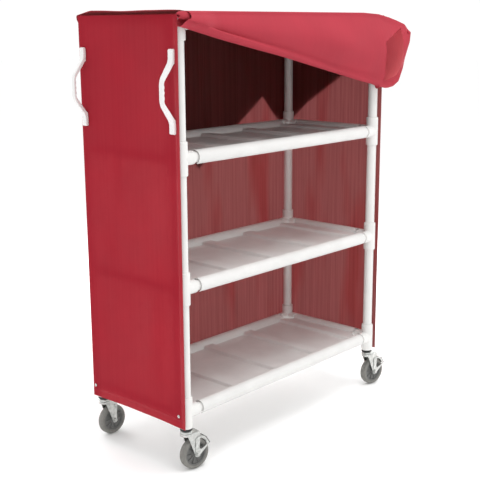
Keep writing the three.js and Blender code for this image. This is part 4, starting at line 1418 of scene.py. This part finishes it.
def end_grid(top_edge, corner):
    """The cloth past the right edge: hanging at the end, then flaring forward into the wing."""
    q = np.linspace(0, 1, TAIL_ROWS + 1)
    columns = [corner]
    for y in top_edge[::-1, 1]:
        if y <= TOP_FRONT + 1:
            continue
        hang = end_hang(np.full_like(q, y), q)
        ahead = eased((FLARE_Y - y) / (FLARE_Y - TOP_FRONT))
        flare = wing_front(q)
        flare[:, 1] = y
        point = hang * (1 - ahead) + flare * ahead
        columns.append(point)
    columns.append(wing_front(q))
    grid = np.stack(columns, 1)
    grid[0, 1:-1] = top_edge[::-1][: grid.shape[1] - 2]
    return grid


def wing_grid(edge_rows):
    """The outer layer where it stands past the right end, beyond the fold."""
    xs = np.linspace(COVER_X, WING_X, WING_COLUMNS)
    low = blend_between(xs, LOW_EDGE)
    high = blend_between(xs, HIGH_EDGE)
    first = np.array(edge_rows)
    share = (first[:, 2] - first[0, 2]) / (first[-1, 2] - first[0, 2])
    z = low[None, :] + (high - low)[None, :] * share[:, None]
    x = xs[None, :] + 0 * z
    out = (xs - COVER_X) / (WING_X - COVER_X)
    y = first[:, 1][:, None] * (1 - out) + (COVER_FRONT - 30 - 14 * np.sin(share * math.pi)[:, None]) * out
    y = y + 4.0 * ripple(x, z, 60.0, 61) * np.sin(share * math.pi)[:, None] * eased(out * 3)[None, :]
    y[-1] = TOP_FRONT - 6 * out
    grid = np.stack([x, y, z], -1)
    grid[:, 0] = first
    return grid


def close_mouth(rows):
    """Draw the left end of the fold in to the hem line of the roll's mouth."""
    for row in rows:
        edge = blend_between(row[:, 2], MOUTH_EDGE)
        ahead = eased((TOP_FRONT + 60 - row[:, 1]) / 60)
        limit = FLAP_LEFT * (1 - ahead) + edge * ahead
        row[:, 0] = np.where(row[:, 0] < limit, limit, row[:, 0])
    return rows


def roll_wad():
    """The side of the cloth rolled up inside the mouth of the fold: pleated, with a blunt nose."""
    turns = np.linspace(0, 2 * math.pi * 1.6, 96)
    lengths = np.linspace(0, 1, 30)
    a, t = np.meshgrid(turns, lengths, indexing="ij")
    nose = np.sqrt(np.clip(1 - (np.clip(t - 0.62, 0, 1) / 0.385) ** 2, 0, 1))
    pleat = 1 + 0.10 * np.cos(3 * a + 1.6 * t) * (0.3 + 0.7 * t)
    radius = (9.0 + 8.0 * a / turns[-1]) * pleat * (0.25 + 0.75 * nose)
    x = -556.0 - t * 96.0 - 6.0 * np.sin(a + 0.6) * t
    y = (COVER_FRONT - 24.0) + radius * np.cos(a)
    z = 1716.0 + radius * 1.06 * np.sin(a) + 9.0 * t
    grid = np.stack([x, y, z], -1)
    return grid, np.stack([radius * a, x], -1)


def left_edge(rows, first_top):
    """Let the left overhang lift along the end panel and draw in at the rear corner."""
    for index, row in enumerate(rows):
        ahead = np.clip((COVER_Y - row[:, 1]) / (COVER_Y - TOP_FRONT), 0, 1)
        over = row[:, 0] < -COVER_X
        drawn_in = -COVER_X + (row[:, 0] + COVER_X) * (0.1 + 0.9 * eased(ahead * 1.5))
        row[:, 0] = np.where(over, drawn_in, row[:, 0])
        if index >= first_top:
            near = eased((LIFT_REACH - COVER_X - row[:, 0]) / LIFT_REACH)
            lift = np.interp(ahead, (0.0, 0.14, 0.7, 1.0), (-7.0, 11.0, 9.0, 3.0))
            behind = np.clip((FLAP_TOP - row[:, 2]) / 30, 0, 1)
            row[:, 2] += lift * near * (1 - behind)
    return rows


def hem_strip(path, inward, depth):
    """A narrow second layer just behind a free edge."""
    path = np.asarray(path, float)
    steps = np.linspace(0, 1, 4)
    grid = np.stack([path + inward * depth * s for s in steps], 0) + np.array([0, 1.6, 0])
    return grid, cloth_uv(grid)


class TROLLEY_OT_flap(bpy.types.Operator):
    """Front flap of the cover, folded up and thrown over the top"""

    bl_idname = "trolley.flap"
    bl_label = "Front flap"

    def execute(self, context):
        xs = fold_columns()
        fold, high = fold_grid(xs)
        top = top_rows(xs, high)
        tail = tail_rows(xs, top[-1][:, 2])
        rows = left_edge(close_mouth(fold + top + tail), len(fold))
        grid = np.stack(rows, 0)
        lip = len(fold) - 1
        top_edge = grid[lip:lip + len(top) + 1, -1]
        corner = grid[lip + len(top) + CORNER_ROWS:, -1]
        right = end_grid(top_edge, corner)
        outer = INNER_ROWS + TURN_ROWS
        wing = wing_grid(grid[outer:lip + 1, -1])
        wad, wad_uv = roll_wad()
        edge = wing[:, -1][::-1]
        strip, strip_uv = hem_strip(edge, np.array([-1.0, 0, 0]), 17.0)
        piece = cloth_object("front_flap", [(grid, cloth_uv(grid)), (right, cloth_uv(right)),
                                            (wing, cloth_uv(wing)), (wad, wad_uv), (strip, strip_uv)],
                             material("flap cloth"))
        ready(piece, "root", "flap_fabric", None,
              "flap_fold", "flap_over_top", "flap_behind", "flap_at_end")
        out = np.array([0, -0.8, 0])
        paths = [wing[:, -2] + out, wing[0, 1:] + np.array([0, -0.8, 6.0])]
        paths.append(grid[-1, 2:-1] + np.array([0, 0.8, 9.0]))
        paths.append(self.mouth_seam(grid[outer:lip + 1], xs))
        stitches = stitched("stitches_flap", paths, "flap_fabric")
        return {"FINISHED"}

    @staticmethod
    def mouth_seam(face, xs):
        """The stitch line beside the mouth, laid on the outer layer of the fold."""
        seam = []
        for x, z in MOUTH_HEM:
            column = face[:, int(np.argmin(np.abs(xs - x)))]
            y = np.interp(z, column[:, 2], column[:, 1])
            seam.append((x, y - 0.9, z))
        return np.array(seam)


# ---------------------------------------------------------------- casters

TYRE_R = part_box("caster_tyre_front_left")[1].z * MM / 2
TYRE_WIDE = 32.0
COLLAR_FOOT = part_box("caster_insert_front_left")[0].z * MM
RACE_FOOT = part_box("caster_fork_front_left")[1].z * MM
AXLE_Z = centre("caster_tyre_front_left")[2]
RACE_R = 24.3
TRAIL = 36.0
FORK_HALF = 19.0
CORE_RIBS = 10
PAD_RIBS = 7
BALL_RING = 0.0196
BALL_MOST = 0.0016
COLLAR_FACETS, RACE_FACETS, PIN_FACETS, TYRE_FACETS, CORE_FACETS, BOLT_FACETS = 48, 56, 32, 96, 72, 28
WASHER_FACETS, NUT_FACETS = 36, 6
WASHER = ((5.0, 0), (9.4, 0), (9.6, 0.3), (9.6, 1.1), (9.4, 1.4), (5.0, 1.4))
NUT = ((5.0, 1.5), (7.6, 1.5), (8.4, 2.1), (8.4, 5.4), (7.4, 6.2), (5.0, 6.2))
LEVER_GAP = 2.4
FORK_TOP = 157.0
FORK_LEG = ((-9, 157), (-9, 147), (-4, 139), (8, 108), (24, 67), (26, 57), (31, 52), (38, 51.5), (44.5, 55),
            (47, 63), (48, 95), (51, 129), (51.5, 150), (49, 157))
LEG_HOLE_R = 3.6
LEG_HOLE = (37, 0, 133)
LEVER_ARM = ((60, 31), (41, 62.5), (24, 73), (10, 74), (-7, 68), (-8, 60))
LEVER_WINDOW = ((17, 17), (40, 27), (49, 35), (36, 54), (22, 64), (8, 65.5), (2, 59), (3, 30))
PEDAL_TILT = math.radians(32.0)


def swivel_place(corner):
    """Where a caster turns, in millimetres about the posts, and how far it is turned."""
    end, face = corner.split("_")[1], corner.split("_")[0]
    origin = np.array([ENDS[end] * POST_X, FACES[face] * POST_Y, 0.0])
    ahead = centre(f"caster_tyre_{corner}") - MIDDLE - origin
    return origin, math.atan2(ahead[1], ahead[0])


def caster_piece(name, points, faces, corner, angle=SHARP):
    """A piece drawn about the swivel axis, put at its corner and turned with the caster."""
    piece = tidy(mesh_object(name, np.asarray(points, float) / MM, faces), angle=angle)
    origin, turn = swivel_place(corner)
    return moved(piece, origin, "z", turn)


def round_piece(name, profile, facets, corner, middle=(0.0, 0.0), axis="z", angle=SHARP):
    """A turned piece of a caster about the upright or the axle."""
    points, faces = lathe(profile, facets, closed=profile[0][0] > 0.01)
    points = turned_to(points, axis) + np.array([middle[0], 0, middle[1]])
    return caster_piece(name, points, faces, corner, angle=angle)


def collar(corner):
    """Black collar under the fitting and the insert inside the post."""
    foot, inner = COLLAR_FOOT, PIPE_R - 4.2
    profile = [(6, foot), (RACE_R - 1, foot), (RACE_R, foot + 1), (RACE_R, foot + 7.6),
               (RACE_R - 1, foot + 8.6), (inner, foot + 8.8), (inner, foot + 51), (6, foot + 51)]
    piece = round_piece(f"collar_{corner}", profile, COLLAR_FACETS, corner)
    ready(piece, "root", "collar_plastic", material("black plastic"), f"caster_insert_{corner}")


def race(corner):
    """Domed race cap, ball ring and kingpin."""
    foot = RACE_FOOT + 0.5
    rim = RACE_R + 0.2
    profile = [(0, foot + 2.6), (rim - 3, foot + 2.6), (rim - 1.2, foot + 1.2), (rim, foot + 2),
               (rim, foot + 5), (rim - 1, foot + 7.6), (rim - 3.5, foot + 10), (rim - 8, foot + 11.6),
               (5.5, foot + 12), (5.5, foot + 58), (0, foot + 58)]
    piece = round_piece(f"race_{corner}", profile, RACE_FACETS, corner)
    ready(piece, "root", "zinc", material("bright zinc"), f"caster_stem_{corner}")
    head = [(0, foot - 9.0), (8.6, foot - 9.0), (9.5, foot - 8.2), (9.5, foot - 5.0), (8.6, foot - 4.1),
            (0, foot - 4.1)]
    pin = round_piece(f"kingpin_{corner}", head, PIN_FACETS, corner)
    ready(pin, "root", "zinc", material("bright zinc"))
    sizes = bpy.context.scene.trolley_caster
    balls = from_tree(f"race_balls_{corner}", ball_ring_tree,
                      {"Ring Radius": BALL_RING, "Ball Radius": min(sizes.ball_radius, BALL_MOST),
                       "Count": sizes.ball_count, "Material": material("bright zinc")})
    origin, turn = swivel_place(corner)
    moved(balls, origin + np.array([0, 0, foot + 1.0]), "z", turn)
    ready(balls, "root", "zinc", material("bright zinc"))


def fork(corner):
    """Pressed fork: crown, bridge and two legs with a hole in each."""
    top, wall = RACE_FOOT, bpy.context.scene.trolley_caster.fork_wall * MM
    crown = [(0, top - wall), (RACE_R - wall, top - wall), (RACE_R - wall, top - 10),
             (RACE_R - 0.4, top - 10), (RACE_R, top - 9.4), (RACE_R, top - 2.4),
             (RACE_R - 2.2, top), (0, top)]
    parts = [lathe(crown, RACE_FACETS, closed=False)]
    outline = rounded([(u, v + top - FORK_TOP) for u, v in FORK_LEG], 5.0, 4)
    for side in (-1, 1):
        near, far = sorted((side * FORK_HALF, side * (FORK_HALF + wall)))
        parts.append(pillow(outline, near, far, 0.9, 4))
    wide = FORK_HALF + 1
    bridge = rounded([(0, -wide), (49, -wide), (49, wide), (0, wide)], 2.0, 3)
    parts.append(plate(bridge, top - wall, top - 0.05, "z"))
    points, faces = gather(parts)
    piece = tidy(mesh_object(f"fork_{corner}", points / MM, faces))
    drill = [(0, -40), (LEG_HOLE_R, -40), (LEG_HOLE_R, 40), (0, 40)]
    rod, rod_faces = lathe(drill, BOLT_FACETS, closed=False)
    cut_out(piece, tidy(mesh_object("hole_form", (turned_to(rod, "y") + np.array(LEG_HOLE)) / MM, rod_faces)))
    origin, turn = swivel_place(corner)
    moved(piece, origin, "z", turn)
    ready(piece, f"swivel_{corner}", "zinc", material("bright zinc"), f"caster_fork_{corner}")


def axle(corner):
    """Axle bolt with a hexagon head, a washer and a lock nut."""
    outside = FORK_HALF + 3 + (LEVER_GAP if corner in BRAKED else 0) + 0.3
    bolt, bolt_faces = lathe([(0, -outside - 6), (4.9, -outside - 6), (4.9, outside + 8),
                              (4.2, outside + 8.8), (0, outside + 8.8)], BOLT_FACETS, closed=False)
    parts = [(turned_to(bolt, "y"), bolt_faces)]
    for side in (-1, 1):
        for profile, facets in ((WASHER, WASHER_FACETS), (NUT, NUT_FACETS)):
            points, faces = lathe(profile, facets)
            points = turned_to(points, "y") * np.array([1, side, 1]) + np.array([0, side * outside, 0])
            parts.append((points, faces))
    points, faces = gather(parts)
    piece = caster_piece(f"axle_{corner}", points + np.array([TRAIL, 0, AXLE_Z]), faces, corner)
    ready(piece, f"swivel_{corner}", "zinc", material("bright zinc"), f"caster_axle_{corner}")


def wheel(corner):
    """Grey tyre with a moulded ring, and the core with its hub and ribs."""
    r, half = TYRE_R, TYRE_WIDE / 2
    side = [(r - 14.8, -half + 2.4), (r - 13.6, -half + 1.2), (r - 12.4, -half + 0.6),
            (r - 11.4, -half + 1.0), (r - 7, -half), (r - 3, -half + 2.2), (r - 0.8, -half + 6),
            (r, -half + 10.5)]
    profile = side + [(radius, -height) for radius, height in reversed(side)]
    tyre = round_piece(f"tyre_{corner}", profile, TYRE_FACETS, corner, (TRAIL, AXLE_Z), "y", 30.0)
    ready(tyre, f"wheel_{corner}", "tyre_rubber", material("grey rubber"), f"caster_tyre_{corner}")
    rim = r - 15.2
    face = [(5.6, -18), (9, -18), (13.2, -17.2), (14.2, -15.5), (14.6, -8), (17, -6), (rim - 8, -5.4),
            (rim - 5, -8), (rim - 4.4, -12.2), (rim - 3, -13), (rim, -13)]
    profile = face + [(radius, -height) for radius, height in reversed(face)]
    points, faces = lathe(profile, CORE_FACETS)
    parts = [(turned_to(points, "y"), faces)]
    outline = rounded([(13.5, -1.1), (rim - 4.6, -1.1), (rim - 4.6, 1.1), (13.5, 1.1)], 0.4, 2)
    rib, rib_faces = plate(outline, -9.5, 9.5)
    for index in range(CORE_RIBS):
        angle = 2 * math.pi * index / CORE_RIBS
        cosine, sine = math.cos(angle), math.sin(angle)
        parts.append((np.stack([rib[:, 0] * cosine - rib[:, 2] * sine, rib[:, 1],
                                rib[:, 0] * sine + rib[:, 2] * cosine], 1), rib_faces))
    points, faces = gather(parts)
    core = caster_piece(f"wheel_core_{corner}", points + np.array([TRAIL, 0, AXLE_Z]), faces, corner)
    ready(core, f"wheel_{corner}", "core_plastic", material("wheel core"), f"caster_core_{corner}")


def pedal_strip(low, high, inner, outer, radius):
    """A slice of the pedal, low to high along it and inner to outer from the axle, rounded."""
    along = np.array([-math.sin(PEDAL_TILT), math.cos(PEDAL_TILT)])
    out = np.array([math.cos(PEDAL_TILT), math.sin(PEDAL_TILT)])
    corners = ((low, inner), (low, outer), (high, outer), (high, inner))
    steps = 3 if radius >= 1.0 else 2
    return rounded([tuple(out * r + along * a) for a, r in corners], radius, steps)


def brake(corner):
    """Brake lever: two plates on the axle, a pedal behind the tyre and its dark ribbed pad."""
    near = FORK_HALF + 3.35
    far = near + 1.9
    hub = [(11 * math.cos(a), 11 * math.sin(a)) for a in np.radians(np.linspace(150, 330, 13))]
    outline = rounded(hub[-1:] + [(30, 9), (48, 24)] + list(LEVER_ARM) + hub[:-1], 3.0, 3)
    parts = [pillow(outline, -far, -near, 0.5, 3), pillow(outline, near, far, 0.5, 3)]
    parts.append(plate(pedal_strip(-6, 32, TYRE_R + 2.6, TYRE_R + 4.6, 0.7), -far, far))
    points, faces = gather(parts)
    piece = tidy(mesh_object(f"lever_{corner}", points / MM, faces))
    points, faces = plate(rounded(LEVER_WINDOW, 5.0, 4), -far - 4, far + 4)
    cut_out(piece, tidy(mesh_object("window_form", points / MM, faces)))
    origin, turn = swivel_place(corner)
    hub_place = np.array([TRAIL * math.cos(turn), TRAIL * math.sin(turn), AXLE_Z])
    moved(piece, origin + hub_place, "z", turn)
    ready(piece, f"brake_{corner}", "zinc", material("bright zinc"), f"brake_lever_{corner}")
    pads = [plate(pedal_strip(-4, 31, TYRE_R + 4.7, TYRE_R + 7.2, 1.0), -far + 0.5, far - 0.5)]
    for index in range(PAD_RIBS):
        middle = -1 + 29.0 * index / (PAD_RIBS - 1)
        rib = pedal_strip(middle - 1.1, middle + 1.1, TYRE_R + 6.8, TYRE_R + 8.3, 0.5)
        pads.append(plate(rib, -far + 2, far - 2))
    points, faces = gather(pads)
    pad = caster_piece(f"pedal_pad_{corner}", points + np.array([TRAIL, 0, AXLE_Z]), faces, corner)
    ready(pad, f"brake_{corner}", "collar_plastic", material("black plastic"))


class TROLLEY_OT_casters(bpy.types.Operator):
    """Swivel casters: collar, race, balls, fork, axle and wheel"""

    bl_idname = "trolley.casters"
    bl_label = "Casters"

    def execute(self, context):
        for corner in CORNERS:
            collar(corner)
            race(corner)
            fork(corner)
            axle(corner)
            wheel(corner)
        return {"FINISHED"}


class TROLLEY_OT_brakes(bpy.types.Operator):
    """Brake levers with their pads, on the two front casters"""

    bl_idname = "trolley.brakes"
    bl_label = "Brakes"

    def execute(self, context):
        for corner in BRAKED:
            brake(corner)
        return {"FINISHED"}


# ---------------------------------------------------------------- stage

# Where the camera stands, in millimetres about the posts, and how it is turned, in degrees.
EYE = np.array([-2960.9, -2692.2, 1688.7])
EYE_YAW = 42.21
EYE_DIP = 12.99
EYE_ROLL = -0.318
SHIFT = (-0.00876, 0.00706)
SENSOR = 36.0
FLOOR_HALF = 40.0

# Each light: its place and what it faces, in metres about the posts, its size in metres and its power.
LIGHTS = (("key", (0.2, -1.3, 5.0), (0, -0.1, 1.4), 2.2, 80.0),
          ("rear", (0.2, 3.6, 2.0), (0, 0, 1.0), 2.6, 75.0),
          ("right", (3.6, 0.3, 1.5), (0.4, 0, 0.9), 2.2, 50.0))


def area_light(name, spot, target, size, power):
    """A soft square light at a spot that faces a target."""
    lamp = bpy.data.lights.new(name, "AREA")
    lamp.shape = "SQUARE"
    lamp.size = size
    lamp.energy = power
    holder = in_scene(name, lamp)
    holder.location = Vector(MIDDLE / MM) + Vector(spot)
    holder.rotation_euler = (Vector(target) - Vector(spot)).to_track_quat("-Z", "Y").to_euler()


def pale_floor(colour):
    """Matt pale floor with a faint unevenness."""
    nodes = Nodes("pale floor")
    clouds = nodes.noise(nodes.coordinates(), 1.2, 3.0)
    shader = nodes.add("ShaderNodeBsdfPrincipled", {"Specular IOR Level": 0.1, "Roughness": 0.9})
    nodes.link(nodes.mottled(clouds, tinted(colour, 0.995), colour), shader.inputs["Base Color"])
    return nodes.finish(shader.outputs["BSDF"])


class TROLLEY_OT_stage(bpy.types.Operator):
    """Pale floor, soft studio light and the camera"""

    bl_idname = "trolley.stage"
    bl_label = "Stage"

    def execute(self, context):
        sizes = context.scene.trolley_stage
        corners = [(x * FLOOR_HALF, y * FLOOR_HALF, 0) for x, y in ((-1, -1), (1, -1), (1, 1), (-1, 1))]
        floor = mesh_object("studio_floor", corners, [(0, 1, 2, 3)])
        floor.data.materials.append(pale_floor(tuple(sizes.floor_colour)))
        world = bpy.data.worlds.new("white room")
        context.scene.world = world
        world.use_nodes = True
        sky = world.node_tree.nodes["Background"]
        sky.inputs["Color"].default_value = (1.0, 1.0, 1.0, 1.0)
        sky.inputs["Strength"].default_value = sizes.sky
        for light in LIGHTS:
            area_light(*light)
        self.aim(context, sizes.lens)
        context.scene.view_settings.view_transform = "Standard"
        return {"FINISHED"}

    @staticmethod
    def aim(context, lens):
        """Make the camera, level but for a slight roll, and look through it."""
        data = bpy.data.cameras.new("studio camera")
        camera = in_scene("studio camera", data)
        yaw, dip, roll = (math.radians(angle) for angle in (EYE_YAW, EYE_DIP, EYE_ROLL))
        forward = Vector((math.cos(yaw) * math.cos(dip), math.sin(yaw) * math.cos(dip), -math.sin(dip)))
        side = forward.cross(Vector((0, 0, 1))).normalized()
        up = side.cross(forward)
        right = math.cos(roll) * side + math.sin(roll) * up
        above = right.cross(forward)
        turn = Matrix((right, above, -forward)).transposed()
        camera.matrix_world = Matrix.Translation(Vector(place(EYE))) @ turn.to_4x4()
        data.lens = lens
        data.sensor_width = SENSOR
        data.shift_x, data.shift_y = SHIFT
        context.scene.camera = camera


# ---------------------------------------------------------------- panel and start


class TROLLEY_PT_pieces(bpy.types.Panel):
    """The trolley's pieces and their sizes"""

    bl_label = "Linen Trolley"
    bl_idname = "TROLLEY_PT_pieces"
    bl_space_type = "VIEW_3D"
    bl_region_type = "UI"
    bl_category = "Trolley"

    def draw(self, context):
        layout = self.layout
        for operator in STEPS:
            layout.operator(operator.bl_idname)
        for group in ("trolley_plastic", "trolley_cloth", "trolley_caster", "trolley_stage"):
            box = layout.box()
            values = getattr(context.scene, group)
            for key in values.bl_rna.properties.keys():
                if key not in ("rna_type", "name"):
                    box.prop(values, key)


GROUPS = {"trolley_plastic": TrolleyPlastic, "trolley_cloth": TrolleyCloth, "trolley_caster": TrolleyCaster,
          "trolley_stage": TrolleyStage}
STEPS = (TROLLEY_OT_stage, TROLLEY_OT_pipes, TROLLEY_OT_fittings, TROLLEY_OT_shelves, TROLLEY_OT_cover,
         TROLLEY_OT_flap, TROLLEY_OT_handles, TROLLEY_OT_casters, TROLLEY_OT_brakes)


def register():
    """Register the groups, the operators and the panel."""
    for group in GROUPS.values():
        bpy.utils.register_class(group)
    for key, group in GROUPS.items():
        setattr(bpy.types.Scene, key, PointerProperty(type=group))
    for step in STEPS:
        bpy.utils.register_class(step)
    bpy.utils.register_class(TROLLEY_PT_pieces)


def unregister():
    """Take back what register did."""
    bpy.utils.unregister_class(TROLLEY_PT_pieces)
    for step in reversed(STEPS):
        bpy.utils.unregister_class(step)
    for key in GROUPS:
        delattr(bpy.types.Scene, key)
    for group in reversed(list(GROUPS.values())):
        bpy.utils.unregister_class(group)


def main():
    """Build every piece."""
    register()
    for step in STEPS:
        family, name = step.bl_idname.split(".")
        getattr(getattr(bpy.ops, family), name)()


if __name__ == "__main__":
    main()
